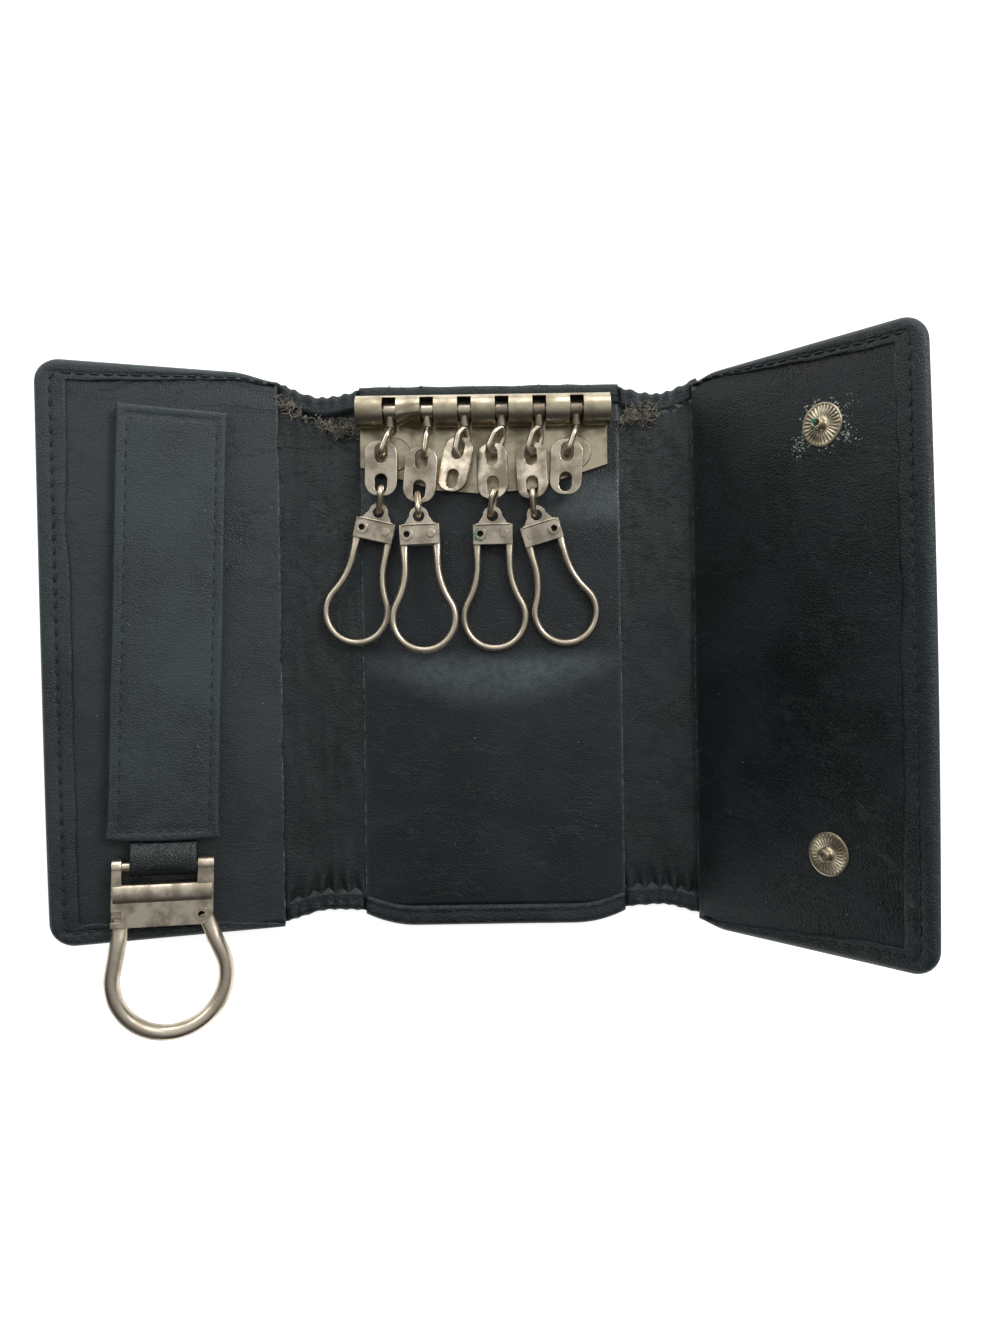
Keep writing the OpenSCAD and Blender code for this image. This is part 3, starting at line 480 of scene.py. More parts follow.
def shell(bm, us, vs, place, wear_and_sheen=None, raw=None):
    """Closed layer of leather: place(u, v, side) is a point of its seen side (0) or its under side (1)."""
    # Share of pale rubbed wear, which on the centre panel also holds a painted highlight, and share of raw fibre
    wear_and_sheen_layer = bm.verts.layers.float.get("wear_and_sheen") or bm.verts.layers.float.new("wear_and_sheen")
    raw_layer = bm.verts.layers.float.get("raw") or bm.verts.layers.float.new("raw")
    nu, nv = len(us) - 1, len(vs) - 1
    place_layer = bm.verts.layers.int.get("place") or bm.verts.layers.int.new("place")
    grid = bmesh.ops.create_grid(bm, x_segments=nu, y_segments=nv, size=1)["verts"]
    for v in grid:
        v[place_layer] = round((v.co.x + 1) / 2 * nu) * (nv + 1) + round((v.co.y + 1) / 2 * nv)
    faces = list({f for v in grid for f in v.link_faces})
    made = bmesh.ops.extrude_face_region(bm, geom=faces)["geom"]
    under = [v for v in made if isinstance(v, bmesh.types.BMVert)]
    for verts, side in ((grid, 0), (under, 1)):
        for v in verts:
            a, b = us[v[place_layer] // (nv + 1)], vs[v[place_layer] % (nv + 1)]
            v.co = place(a, b, side)
            v[wear_and_sheen_layer] = wear_and_sheen(a, b, side) if wear_and_sheen else 0.0
            v[raw_layer] = raw(a, b, side) if raw else 0.0
    return grid + under


def rounded(d, radius, half):
    """Height over the middle of a rounded edge at distance d from it."""
    if d >= radius:
        return half
    return half * math.sqrt(max(0.0, 1 - (1 - d / radius) ** 2))


def step(x, low, high):
    """0 below low, 1 above high, smooth between."""
    t = min(1.0, max(0.0, (x - low) / (high - low)))
    return t * t * (3 - 2 * t)


def sweep(bm, path, sections, sides=12, closed=False, across=None):
    """Bent wire or strip: an ellipse of half sizes sections[i], or of one pair, carried along the path.

    across is the direction of the first half size.
    """
    points = [Vector(p) for p in path]
    count = len(points)
    across = Vector(across or (0, 0, 1))
    turn = [2 * math.pi * k / sides for k in range(sides)]
    rings = []
    for i, p in enumerate(points):
        before = points[i - 1] if (i or closed) else p
        after = points[(i + 1) % count] if (i < count - 1 or closed) else p
        along = (after - before).normalized()
        one = (across - along * across.dot(along)).normalized()
        two = along.cross(one)
        a, b = sections[i] if isinstance(sections, list) else sections
        if not rings:
            ring = bmesh.ops.create_circle(bm, segments=sides, radius=1)["verts"]
            edges = list({e for v in ring for e in v.link_edges})
        else:
            made = bmesh.ops.extrude_edge_only(bm, edges=rings[-1][1])["geom"]
            edges = [g for g in made if isinstance(g, bmesh.types.BMEdge) and g.is_boundary]
            new = {g for g in made if isinstance(g, bmesh.types.BMVert)}
            # Each new corner beside the one that it grew from
            ring = [next(e.other_vert(v) for e in v.link_edges if e.other_vert(v) in new) for v in rings[-1][0]]
        for v, t in zip(ring, turn):
            v.co = p + one * (a * math.cos(t)) + two * (b * math.sin(t))
        rings.append((ring, edges))
    if closed:
        bmesh.ops.bridge_loops(bm, edges=rings[0][1] + rings[-1][1])
    else:
        for ring, edges in (rings[0], rings[-1]):
            bmesh.ops.contextual_create(bm, geom=edges)
    return [v for ring, _ in rings for v in ring]


def curve_through(points, steps=6, closed=False):
    """Smooth line through points."""
    pts = [Vector(p) for p in points]
    n = len(pts)
    out = []
    for i in range(n if closed else n - 1):
        if closed:
            a, b, c, d = (pts[(i + k) % n] for k in (-1, 0, 1, 2))
        else:
            a, b, c, d = (pts[min(max(i + k, 0), n - 1)] for k in (-1, 0, 1, 2))
        for s in range(steps):
            t = s / steps
            near = (2 * b) + (c - a) * t + (2 * a - 5 * b + 4 * c - d) * t * t
            out.append(0.5 * (near + (3 * b - a - 3 * c + d) * t ** 3))
    if not closed:
        out.append(pts[-1])
    return out


def arc_points(centre, radius, start, end, count):
    """Points of an arc in the XY plane, angles in degrees."""
    angles = [math.radians(start + (end - start) * i / count) for i in range(count + 1)]
    return [Vector((centre[0] + radius * math.cos(a), centre[1] + radius * math.sin(a), 0)) for a in angles]


def half_turn(y, z, reach_y, reach_z, pitch):
    """Points of half a turn in the YZ plane round (y, z), every pitch degrees, beginning on its Z side."""
    angles = [math.radians(a) for a in range(0, 181, pitch)]
    return [Vector((0, y + reach_y * math.sin(a), z + reach_z * math.cos(a))) for a in angles]


def distances(line):
    """Distance of each point of a line from its start, along it."""
    run = [0.0]
    for p, q in zip(line, line[1:]):
        run.append(run[-1] + (q - p).length)
    return run


def worn_copy(bm, nodes, width, segments=2):
    """The solids of some nodes in millimetres, their flats joined and their sharp edges worn round."""
    for node in nodes:
        start = bmesh.new()
        start.from_mesh(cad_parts[node].data)
        bmesh.ops.scale(start, vec=(1000, 1000, 1000), verts=start.verts)
        bmesh.ops.remove_doubles(start, verts=start.verts, dist=0.0005)
        bmesh.ops.dissolve_limit(start, angle_limit=math.radians(0.6), verts=start.verts, edges=start.edges)
        sharp = math.radians(35)
        edges = [e for e in start.edges if len(e.link_faces) == 2 and e.calc_face_angle() > sharp]
        bmesh.ops.bevel(
            start, geom=edges, offset=width, offset_type="OFFSET", affect="EDGES", segments=segments,
            profile=0.5, material=-1, clamp_overlap=True,
        )
        held = bpy.data.meshes.new("held")
        start.to_mesh(held)
        start.free()
        bm.from_mesh(held)
        bpy.data.meshes.remove(held)


def worn_piece(name, nodes, finish, body, slot, width, segments=2):
    """Piece in place of some nodes: their own shape, its sharp edges worn round."""
    bm = bmesh.new()
    worn_copy(bm, nodes, width, segments)
    keep_flats(finish_piece(bm, name, [finish], body, slot, nodes, 40))


def move(bm, verts, matrix):
    """Brings points from a piece's own frame into the case's."""
    bmesh.ops.transform(bm, matrix=matrix, verts=verts)


# Leather panels


def flap_reach(side, y):
    """Distance from the fold to a flap's outer edge at a height."""
    near = abs(y) - (CASE_H / 2 - CORNER_R)
    if near <= 0:
        return FLAP_W[side]
    return FLAP_W[side] - CORNER_R + math.sqrt(max(0.0, CORNER_R ** 2 - min(near, CORNER_R) ** 2))


def flared(side, x, y):
    """Place of a flap's point on the drawn-out leather, which is widest at the left flap's upper corner."""
    if side == RIGHT:
        wide = 1.044 - 0.012 * (2 * y / CASE_H + 0.2) ** 2
        return x * wide, y * (1 + 0.022 * step(x, SETBACK[side] - 1, 7))
    up = step(y, 0, CASE_H / 2)
    out = 1.55 * max(0.0, y / CASE_H + 0.5) ** 0.6
    return x + out * x / FLAP_W[side], y + up * (1.1 + 1.4 * step(x, SETBACK[side], 10))


def hem_end(side, x):
    """Width of the turned margin at a flap's top or bottom, which runs out towards the fold."""
    share = min(1.0, (x - SETBACK[side]) / (FLAP_W[side] - SETBACK[side]) * 1.25)
    return HEM_END * (0.22 + 0.78 * share ** 0.8)


def flap_edge_distance(side, x, y):
    """Distance from a flap's top, bottom and outer edges."""
    dx, dy = FLAP_W[side] - x, CASE_H / 2 - abs(y)
    if dx < CORNER_R and dy < CORNER_R:
        return CORNER_R - math.hypot(CORNER_R - dx, CORNER_R - dy)
    return min(dx, dy)


def fold_line(side):
    """Middle of the leather from the centre over a strip to its flap: points, and their distances along it."""
    far = FLAP[side]
    a, b = Vector((side * CENTRE_HALF, 0, LEATHER_HALF)), Vector((side * FOLD_X, 0, LEATHER_HALF))
    end = Vector((far[0][3], 0, far[2][3]))
    out = far @ Vector((SETBACK[side], 0, 0))
    back = end + (b - end).normalized() * SETBACK[side]
    line = [a + (b - a) * i / 3 for i in range(3)]
    line += [b + (back - b) * i / 26 for i in range(26)]
    for i in range(9):
        t = i / 8
        line.append(back * (1 - t) ** 2 + end * 2 * t * (1 - t) + out * t ** 2)
    return line, distances(line)


def on_line(line, run, s):
    """Point at distance s along a section, and the direction towards its lining side."""
    i = max(k for k in range(len(run) - 1) if run[k] <= s + 1e-9)
    t = (s - run[i]) / max(run[i + 1] - run[i], 1e-9)
    p = line[i].lerp(line[i + 1], t)
    lo, hi = max(i - 1, 0), min(i + 2, len(line) - 1)
    along = (line[hi] - line[lo]).normalized()
    up = Vector((-along.z, 0, along.x))
    if up.z < 0:
        up = -up
    return p, up


def strip_top(x):
    """Height of a strip's upper edge at a share of its width."""
    return CASE_H / 2 - 1.6 * math.sin(math.pi * x)


def strip_bottom(x):
    """Height of a strip's lower edge at a share of its width."""
    return -(CASE_H / 2 - CORNER_RISE) + 0.4 * math.sin(math.pi * x)


def drawn_up(x):
    """How far the centre's lower edge is drawn up towards its corners."""
    return CORNER_RISE * max(0.0, (abs(x) - (CENTRE_HALF - CORNER_RUN)) / CORNER_RUN) ** 2


class KEYCASE_OT_centre_panel(bpy.types.Operator):
    """Builds the centre panel: the outer leather with its turned ends, and the raw-edged lining"""

    bl_idname = "keycase.centre_panel"
    bl_label = "Centre panel"

    def execute(self, context):
        h, half = CASE_H / 2, CENTRE_HALF
        xs = stations(-half, half, 1.1)
        hem_y = h - HEM_END

        def edge_y(x, v):
            top = h + 0.5 - 0.12 * (1 + wave(x, 3, 4, 2))
            return top + (v - h) if v > 0 else -h - 0.65 + drawn_up(x) + (v + h)

        def place(u, v, side):
            y = edge_y(u, v)
            d = min(h - v, v + h)
            half_thick = 1.15
            if side:
                return Vector((u, y, half_thick - rounded(d, 1.1, half_thick)))
            z = half_thick + rounded(d, 1.1, half_thick)
            under = step(d, HEM_END - 0.1, HEM_END + 0.12)
            z -= 0.12 * math.exp(-(((d - SEAM_INSET) / 0.35) ** 2)) + 0.05 * (1 + wave(u, y, 2.6, 4))
            if abs(u + 1.1) < 26 and v > 0:
                # Pressed flat under the key row
                z = min(z, CENTRE_TOP - 0.02 + 2 * step(d, 2.9, 1.6))
            return Vector((u, y, z * (1 - under) + 0.9 * under))

        bm = bmesh.new()
        hem = [s * (h - HEM_END + f) for s in (-1, 1) for f in (-0.15, 0, 0.15)]
        seam = [s * (h - SEAM_INSET + f) for s in (-1, 1) for f in (-0.3, 0, 0.3)]
        ys = edge_places(-h, h, 1.5, extra=hem + seam)
        shell(bm, xs, ys, place, lambda u, v, side: 0.3 * step(1.6 - min(h - v, v + h), 0, 1.6))
        finish_piece(bm, "centre_cover", ["waxed_calfskin_outer"], "case_centre", "outer_leather", ["centre_back"])

        def lining(u, v, side):
            x = u + 0.12 * wave(3, v, 5, 1 if u > 0 else 2, 2) * step(abs(u), half - 1, half)
            z = CENTRE_TOP if side == 0 else CENTRE_TOP - 0.85
            if side == 0:
                z -= 0.1 * step(abs(u), half - 0.5, half) - 0.07 * wave(u, v, 16, 3, 2)
                z -= 0.12 * step(abs(v), hem_y - 3, hem_y + 0.5)
                if v > 30 and abs(u + 1.1) < 25.5:
                    z = min(z, CENTRE_TOP)
            return Vector((x, v, z))

        def sheen(u, v, side):
            """Share of paler leather: rubbed wear at the raw edges, and a painted highlight below the plate and in
            the arched band under the clips.
            """
            below = v + 3 - 0.012 * u * u
            band = step(v, 1.5, -2.5) * step(below, -9.5, -1) * (0.85 + 0.15 * wave(u, v, 9, 6, 2))
            plate = step(v, 24, 29) * step(v, 37, 33) * step(abs(u + 2), 8, 20) * (0.7 + 0.4 * wave(u, v, 6, 8, 2))
            return min(1.0, max(0.3 * step(abs(u), half - 0.8, half), band, 0.9 * plate))

        bm = bmesh.new()
        lx = edge_places(-half, half, 1.4)
        ly = stations(-h + 2.9, h - 1.6, 1.3)
        # The wear attribute carries the rubbed raw edges here, and also the painted sheen highlights of the band and
        # below the plate
        shell(bm, lx, ly, lining, sheen,
              lambda u, v, side: step(abs(u), half - 0.2, half - 0.03) * (0.9 if side == 0 else 1))
        finish_piece(
            bm, "centre_panel", ["smooth_calfskin_lining"], "case_centre", "lining_leather", ["centre_lining"]
        )
        return {"FINISHED"}


def torn_edge(side, u, total):
    """Height below the turned end at which a strip's lining has torn away."""
    share = u / total
    deep = 5.6 * (1 - share) if side == LEFT else 5.0 * max(0.0, 1 - 1.5 * share) ** 1.4
    return strip_top(share) - 2.9 - deep - 0.9 * wave(u, 1, 2.2, 5 * side, 3)


def make_strip(side):
    """One fold strip, in two halves: the inner from the centre, the outer on to its flap."""
    name, flap = SIDE_NAMES[side], FLAP[side]
    line, run = fold_line(side)
    total = run[-1]
    middle = FOLD_X - CENTRE_HALF + STRIP_L[side] / 2
    outer_hinge = Vector((flap[0][3], 0, flap[2][3]))
    inward = (Vector((side * FOLD_X, 0, LEATHER_HALF)) - outer_hinge).normalized()

    def cover(u, v, k):
        p, up = on_line(line, run, u)
        share = u / total
        spread = step(share, 0.45, 1)
        top, low = strip_top(share) + 1.2 * spread, strip_bottom(share) - 1.5 * spread
        near_centre, near_flap = step(1.2 - u, 0, 1.2), step(u, total - 1.2, total)
        y = low + (top - low) * v
        d = min(top - y, y - low)
        pucker = math.sin(u * 2 * math.pi / 2.35 + 1.5 * wave(u, 0, 5, side + 4))
        pucker *= 1 - near_centre
        pucker *= 1 - near_flap
        y += 0.15 * pucker * step(2.2 - d, 0, 2.2)
        if k:
            return p - up * rounded(d, 0.7, 0.8) + Vector((0, y, 0))
        hem = rounded(d, 0.9, 1.0) + (0.28 * pucker + 0.12) * step(2.8 - d, 0, 2.6)
        under = step(d, 3.7, 4.2)
        z = hem * (1 - under) + 0.05 * under
        edge = max(near_centre, near_flap)
        return p + up * (z * (1 - edge) + 0.3 * edge) + Vector((0, y, 0))

    def lining(u, v, k):
        p, up = on_line(line, run, u)
        low = strip_bottom(u / total) + 2.6 - 1.5 * step(u / total, 0.45, 1)
        torn_y = torn_edge(side, u, total)
        y = low + (torn_y - low) * v
        if k:
            return p + up * 0.1 + Vector((0, y, 0))
        crinkle = 0.15 * wave(u, y * 0.12, 3.1, side + 9, 2) + 0.22 * wave(u, y * 0.5, 4.5, side, 2)
        crinkle += 0.07 * wave(u * 0.35, y, 0.8, side + 1, 3)
        crinkle *= step(u, 0, 1.0) * step(total - u, 0, 1.0)
        torn = step(y, torn_y - 0.9, torn_y)
        pulled = step(y, low + 7, low)
        gather = 0.5 * pulled * math.sin(u * 2 * math.pi / 2.9 + 2 * wave(u, y, 9, side))
        return p + up * (0.78 + crinkle + 0.3 * torn + gather - 0.3 * pulled) + Vector((0, y, 0))

    hem = [f / STRIP_H for f in (0.3, 0.8, 1.3, 2.1, 3.0, 3.9, 4.3)]
    layers = (
        ("cover", "waxed_calfskin_outer", "outer_leather", "back", 0.45,
         sorted({*(i / 60 for i in range(61)), *hem, *(1 - f for f in hem)}), cover,
         lambda u, v, k: 0.3 * step(2.2 - min(v, 1 - v) * STRIP_H, 0, 2.2), None),
        ("lining", "crinkled_fold_lining", "strip_lining", "lining", 0.3,
         stations(0, 1, 0.011, [1 - f / STRIP_H for f in (0.15, 0.4, 0.8)]), lining,
         None, lambda u, v, k: step(v, 0.985, 0.998)),
    )
    for half, u0, u1, bodies, start, end in (
        ("inner", 0.0, middle, ("case_centre", f"{name}_strip"),
         Vector((side * (CENTRE_HALF - 0.2), 0, 0)), Vector((side * (FOLD_X + 2.2), 0, 0))),
        ("outer", middle, total, (f"{name}_strip", f"{name}_flap"),
         outer_hinge + inward * 2.0, outer_hinge - inward * 0.9),
    ):
        for layer, finish, slot, node, pitch, vs, place, wear_and_sheen, raw in layers:
            bm = bmesh.new()
            shell(bm, stations(u0, u1, pitch), vs, place, wear_and_sheen, raw)
            nodes = [f"{name}_fold_{node}"] if half == "inner" else []
            bend = (*bodies, start * MM, end * MM)
            finish_piece(bm, f"{name}_strip_{layer}_{half}", [finish], bend, slot, nodes, 60)


class KEYCASE_OT_fold_strips(bpy.types.Operator):
    """Builds both fold strips: outer leather with gathered ends, and the thin crinkled lining"""

    bl_idname = "keycase.fold_strips"
    bl_label = "Fold strips"

    def execute(self, context):
        for side in (LEFT, RIGHT):
            make_strip(side)
        return {"FINISHED"}


def make_flap(side):
    """One flap: its outer leather with the turned margin, and the panel inside."""
    h, name, x0, w = CASE_H / 2, SIDE_NAMES[side], SETBACK[side], FLAP_W[side]
    # The left flap takes the rougher finishes, whose paler colour is painted light
    dulled = side == LEFT

    def spot(u, v):
        reach = flap_reach(side, v)
        return x0 + (u - x0) * (reach - x0) / (w - x0), v

    def cover(u, v, k):
        x, y = spot(u, v)
        d = flap_edge_distance(side, x, y)
        if k:
            return Vector((*flared(side, x, y), 0.6 - rounded(d, 1.5, 1.4)))
        z = 0.6 + rounded(d, 1.5, 1.4)
        end = hem_end(side, x)
        seam = min(w - x - SEAM_INSET, h - abs(y) - end * SEAM_SHARE)
        z -= 0.2 * math.exp(-((seam / 0.35) ** 2)) + 0.06 * (wave(x, y, 2.5, side + 2) + 1) * step(d, 0.5, 1.5)
        inner = min(w - x - HEM_SIDE, h - abs(y) - end) + 0.12 * wave(x, y, 6, 7 + side)
        under = step(inner, -0.1, 0.12)
        fold = step(x0 + 1.5 - x, 0, 1.5)
        z = z * (1 - under) + 0.5 * under
        return Vector((*flared(side, x, y), z * (1 - fold * under)))

    def lining(u, v, k):
        d = min(w - u, h - abs(v))
        x = u + (0.14 * wave(2, v, 6, side, 2) if u < x0 + 0.1 else 0)
        if k:
            return Vector((*flared(side, x, v), 0.72))
        z = FLAP_IN + 0.09 * wave(u, v, 17, side + 3, 2) - 0.12 * step(x0 + 0.4 - u, 0, 0.4)
        return Vector((*flared(side, x, v), z - 0.1 * step(5.6 - d, 0, 2)))

    hem_x = [w - HEM_SIDE + f for f in (-0.2, -0.05, 0.1)] + [w - SEAM_INSET + f for f in (-0.35, 0, 0.35)]
    hem_y = [s * (h - f * 0.3) for s in (-1, 1) for f in range(1, 15)]
    corner = [s * (h - f) for s in (-1, 1) for f in (0.02, 2.0, 3.2, 3.8, 4.5)]
    for layer, finish, slot, nodes, us, vs, place, wear_and_sheen, raw in (
        ("cover", "dulled_calfskin_outer" if dulled else "waxed_calfskin_outer", "outer_leather", ("back", "board"),
         edge_places(x0, w, 1.2, near_start=False, extra=hem_x), edge_places(-h, h, 1.3, extra=hem_y + corner),
         cover, lambda u, v, k: step(1.9 - flap_edge_distance(side, *spot(u, v)), 0, 1.7) * 0.9, None),
        ("panel", "dulled_calfskin_lining" if dulled else "smooth_calfskin_lining", "lining_leather", ("lining",),
         edge_places(x0, w - 3.6, 1.2, near_end=False), stations(-h + 0.75, h - 0.75, 1.2),
         lining, lambda u, v, k: 0.35 * step(x0 + 0.9 - u, 0, 0.9), lambda u, v, k: step(x0 + 0.2 - u, 0, 0.15)),
    ):
        bm = bmesh.new()
        move(bm, shell(bm, us, vs, place, wear_and_sheen, raw), FLAP[side])
        replaced = [f"{name}_flap_{node}" for node in nodes]
        finish_piece(bm, f"{name}_flap_{layer}", [finish], f"{name}_flap", slot, replaced)


class KEYCASE_OT_flaps(bpy.types.Operator):
    """Builds both flaps: the outer leather turned over its edge, and the smooth panel sewn inside"""

    bl_idname = "keycase.flaps"
    bl_label = "Flaps"

    def execute(self, context):
        for side in (LEFT, RIGHT):
            make_flap(side)
        return {"FINISHED"}


def strap_edge_distance(x, y):
    """Distance from the strap's nearest edge."""
    return min(STRAP_W / 2 - abs(x), STRAP_Y[1] - y, y - STRAP_Y[0])


def strap_layer(z0, z1, shrink):
    """Shape of the strap's layer from z0 to z1, its edges drawn in by shrink."""
    half, low = STRAP_W / 2, STRAP_Y[0]

    def place(u, v, k):
        d = strap_edge_distance(u, v)
        x = u * (1 - shrink / half)
        x += 0.25 * (x / half) * step(v, low + 6, low) - 0.1 * wave(0, v, 18, 5)
        mid, thick = (z0 + z1) / 2, (z1 - z0) / 2
        z = mid + (1 if k == 0 else -1) * rounded(d, 0.55, thick)
        y = v + 0.5 * (x / half) ** 2 * step(v, low + 3, low)
        if k == 0 and z1 == STRAP_T:
            z -= 0.17 * math.exp(-(((d - STRAP_SEAM) / 0.4) ** 2))
            z -= 0.07 * (1 + wave(x, v, 13, 3, 2)) * step(d, 2, 4)
            z += 0.15 * step(abs(x), 7.5, 5.5) * step(v, low + 3.5, low)
        return Vector((x, y, z))

    return place


class KEYCASE_OT_strap(bpy.types.Operator):
    """Builds the sewn strap on the left flap and the leather loop that holds the large hook"""

    bl_idname = "keycase.strap"
    bl_label = "Strap"

    def execute(self, context):
        half, (low, high) = STRAP_W / 2, STRAP_Y
        seam = [s * (half - STRAP_SEAM + f) for s in (-1, 1) for f in (-0.35, 0, 0.35)]
        us = edge_places(-half, half, 1.1, extra=seam)
        vs = edge_places(low, high, 1.3, extra=[low + STRAP_SEAM, high - STRAP_SEAM, high - 2.3, high - 1.5])
        for name, z0, z1, shrink, node in (
            ("strap_under_layer", 0.0, 1.75, 0.12, "strap_back"),
            ("strap_upper_layer", 1.7, STRAP_T, 0.0, "strap_top"),
        ):
            bm = bmesh.new()
            verts = shell(
                bm, us, vs, strap_layer(z0, z1, shrink),
                lambda u, v, k: step(0.9 - strap_edge_distance(u, v), 0, 0.8) * 0.6,
                lambda u, v, k: step(0.25 - strap_edge_distance(u, v), 0, 0.2) * (0.5 if k else 0),
            )
            move(bm, verts, STRAP)
            finish_piece(bm, name, ["strap_calfskin"], "left_flap", "strap_leather", [node])

        # The loop runs out from between the strap's layers, round the hook's bar and back
        r, between = 0.95, (low + BAR_Y) / 2
        path = [(0, low + 7.6, 1.2), (0, low + 3, 1.25), (0, low + 0.3, 1.4), (0, between, BAR_Z + r * 0.75)]
        path += half_turn(BAR_Y, BAR_Z, -r, r + 0.05, 20)
        path += [(0, between, BAR_Z - r * 0.95), (0, low, 1.25), (0, low + 7.6, 1.15)]
        line = curve_through(path, 4)
        run = distances(line)

        def band(u, v, k):
            p, _ = on_line(line, run, min(v, run[-1]))
            i = max(j for j in range(len(run) - 1) if run[j] <= min(v, run[-1] - 1e-6))
            along = (line[min(i + 1, len(line) - 1)] - line[max(i - 1, 0)]).normalized()
            out = Vector((0, -along.z, along.y))
            if out.dot(p - Vector((0, BAR_Y + 3, BAR_Z))) < 0:
                out = -out
            thick = 0.02 + rounded(LOOP_HALF - abs(u), 0.35, 0.38)
            offset = 0.4 + (thick if k == 0 else -thick) + (0.04 * wave(u, v, 2.2, 4, 2) if k == 0 else 0)
            return p + out * offset + Vector((u * (1 - 0.015 * step(abs(v - run[-1] / 2), 5, 0)), 0, 0))

        bm = bmesh.new()
        verts = shell(
            bm, edge_places(-LOOP_HALF, LOOP_HALF, 0.8), stations(0, run[-1], 0.45), band,
            lambda u, v, k: 0.6 * step(abs(u), LOOP_HALF - 1.1, LOOP_HALF),
        )
        move(bm, verts, STRAP)
        finish_piece(bm, "strap_hook_loop", ["waxed_calfskin_outer"], "left_flap", "strap_leather", ["keeper_loop"])
        return {"FINISHED"}


def sew(bm, points, height, panel, pitch, length=1.8, thread=0.5):
    """A row of stitches at a height over a panel, along a line of points (x, y) in the panel's frame."""
    rest = 0.0
    for p, q in zip(points, points[1:]):
        p, q = Vector(p), Vector(q)
        span = (q - p).length
        if span < 1e-6:
            continue
        along = (q - p) / span
        while rest < span:
            at = p + along * rest
            lean = math.radians(4 * wave(at.x, at.y, 1.1, 3))
            place = (
                panel
                @ Matrix.Translation((at.x, at.y, height))
                @ Matrix.Rotation(math.atan2(along.y, along.x) + lean, 4, "Z")
                @ Matrix.Diagonal((length / 2, thread / 2, thread / 2 * 0.8, 1))
                @ Matrix.Rotation(math.pi / 2, 4, "Y")
            )
            bmesh.ops.create_uvsphere(bm, u_segments=8, v_segments=6, radius=1, matrix=place)
            rest += pitch
        rest -= span


class KEYCASE_OT_stitching(bpy.types.Operator):
    """Sews the rows of stitches round both flaps, over the strips' and the centre's ends, and round the strap"""

    bl_idname = "keycase.stitching"
    bl_label = "Stitching"

    def execute(self, context):
        pitch, inset, h = settings().stitch_pitch / MM, settings().stitch_inset / MM, CASE_H / 2
        for side in (LEFT, RIGHT):
            name, w, r, top = SIDE_NAMES[side], FLAP_W[side] - inset, CORNER_R - inset, h - inset
            ends = stations(SETBACK[side] + 1.2, w - r, 3)
            points = [(x, h - hem_end(side, x) * SEAM_SHARE) for x in ends]
            points += [(p.x, p.y) for p in arc_points((w - r, top - r), r, 90, 0, 4)]
            points += [(p.x, p.y) for p in arc_points((w - r, r - top), r, 0, -90, 4)]
            points += [(x, hem_end(side, x) * SEAM_SHARE - h) for x in reversed(ends)]
            bm = bmesh.new()
            sew(bm, [flared(side, *p) for p in points], HEM_TOP - 0.14, FLAP[side], pitch)
            finish_piece(bm, f"{name}_flap_stitches", ["waxed_thread"], f"{name}_flap", "outer_leather")
        bm = bmesh.new()
        sew(bm, [(s * 25.3, h - inset + 0.9) for s in (-1, 1)], 2.06, Matrix.Identity(4), pitch)
        low = [(x, -h + inset + drawn_up(x)) for x in stations(-25, 25, 5)]
        sew(bm, low, 2.1, Matrix.Identity(4), pitch)
        finish_piece(bm, "centre_stitches", ["waxed_thread"], "case_centre", "outer_leather")
        half, y0, y1 = STRAP_W / 2 - STRAP_SEAM, STRAP_Y[0] + 2, STRAP_Y[1] - 2.8
        bm = bmesh.new()
        rows = [(half, y0), (half, y1), (-half, y1), (-half, y0), (half, y0)]
        sew(bm, rows, STRAP_T - 0.2, STRAP, pitch, length=1.6, thread=0.4)
        finish_piece(bm, "strap_stitches", ["waxed_thread"], "left_flap", "strap_leather")
        return {"FINISHED"}


class KEYCASE_OT_key_row(bpy.types.Operator):
    """Finishes the key plate, its rail and its rivets"""

    bl_idname = "keycase.key_row"
    bl_label = "Key row"

    def execute(self, context):
        for name, node, finish, slot, width in (
            ("rolled_key_plate", "key_plate", "yellowed_nickel_sheet", "worn_brass_nickel", 0.16),
            ("flat_rivets", "plate_rivets", "yellowed_nickel_sheet", "worn_brass_nickel", 0.1),
            ("rail_pin", "rail_rod", "tumbled_nickel_plate", "worn_nickel", 0.08),
        ):
            worn_piece(name, [node], finish, "case_centre", slot, width)
        # Dirt that has gathered round the rivets' heads
        bm = bmesh.new()
        for x in RIVET_X:
            at = Vector((x, RIVET_Y, CENTRE_TOP + SHEET_T + 0.02))
            sweep(bm, [p + at for p in arc_points((0, 0), RIVET_R, 0, 352, 44)], (0.07, 0.07), 6, closed=True)
        finish_piece(bm, "rivet_grime", ["grime"], "case_centre", "worn_brass_nickel")
        return {"FINISHED"}


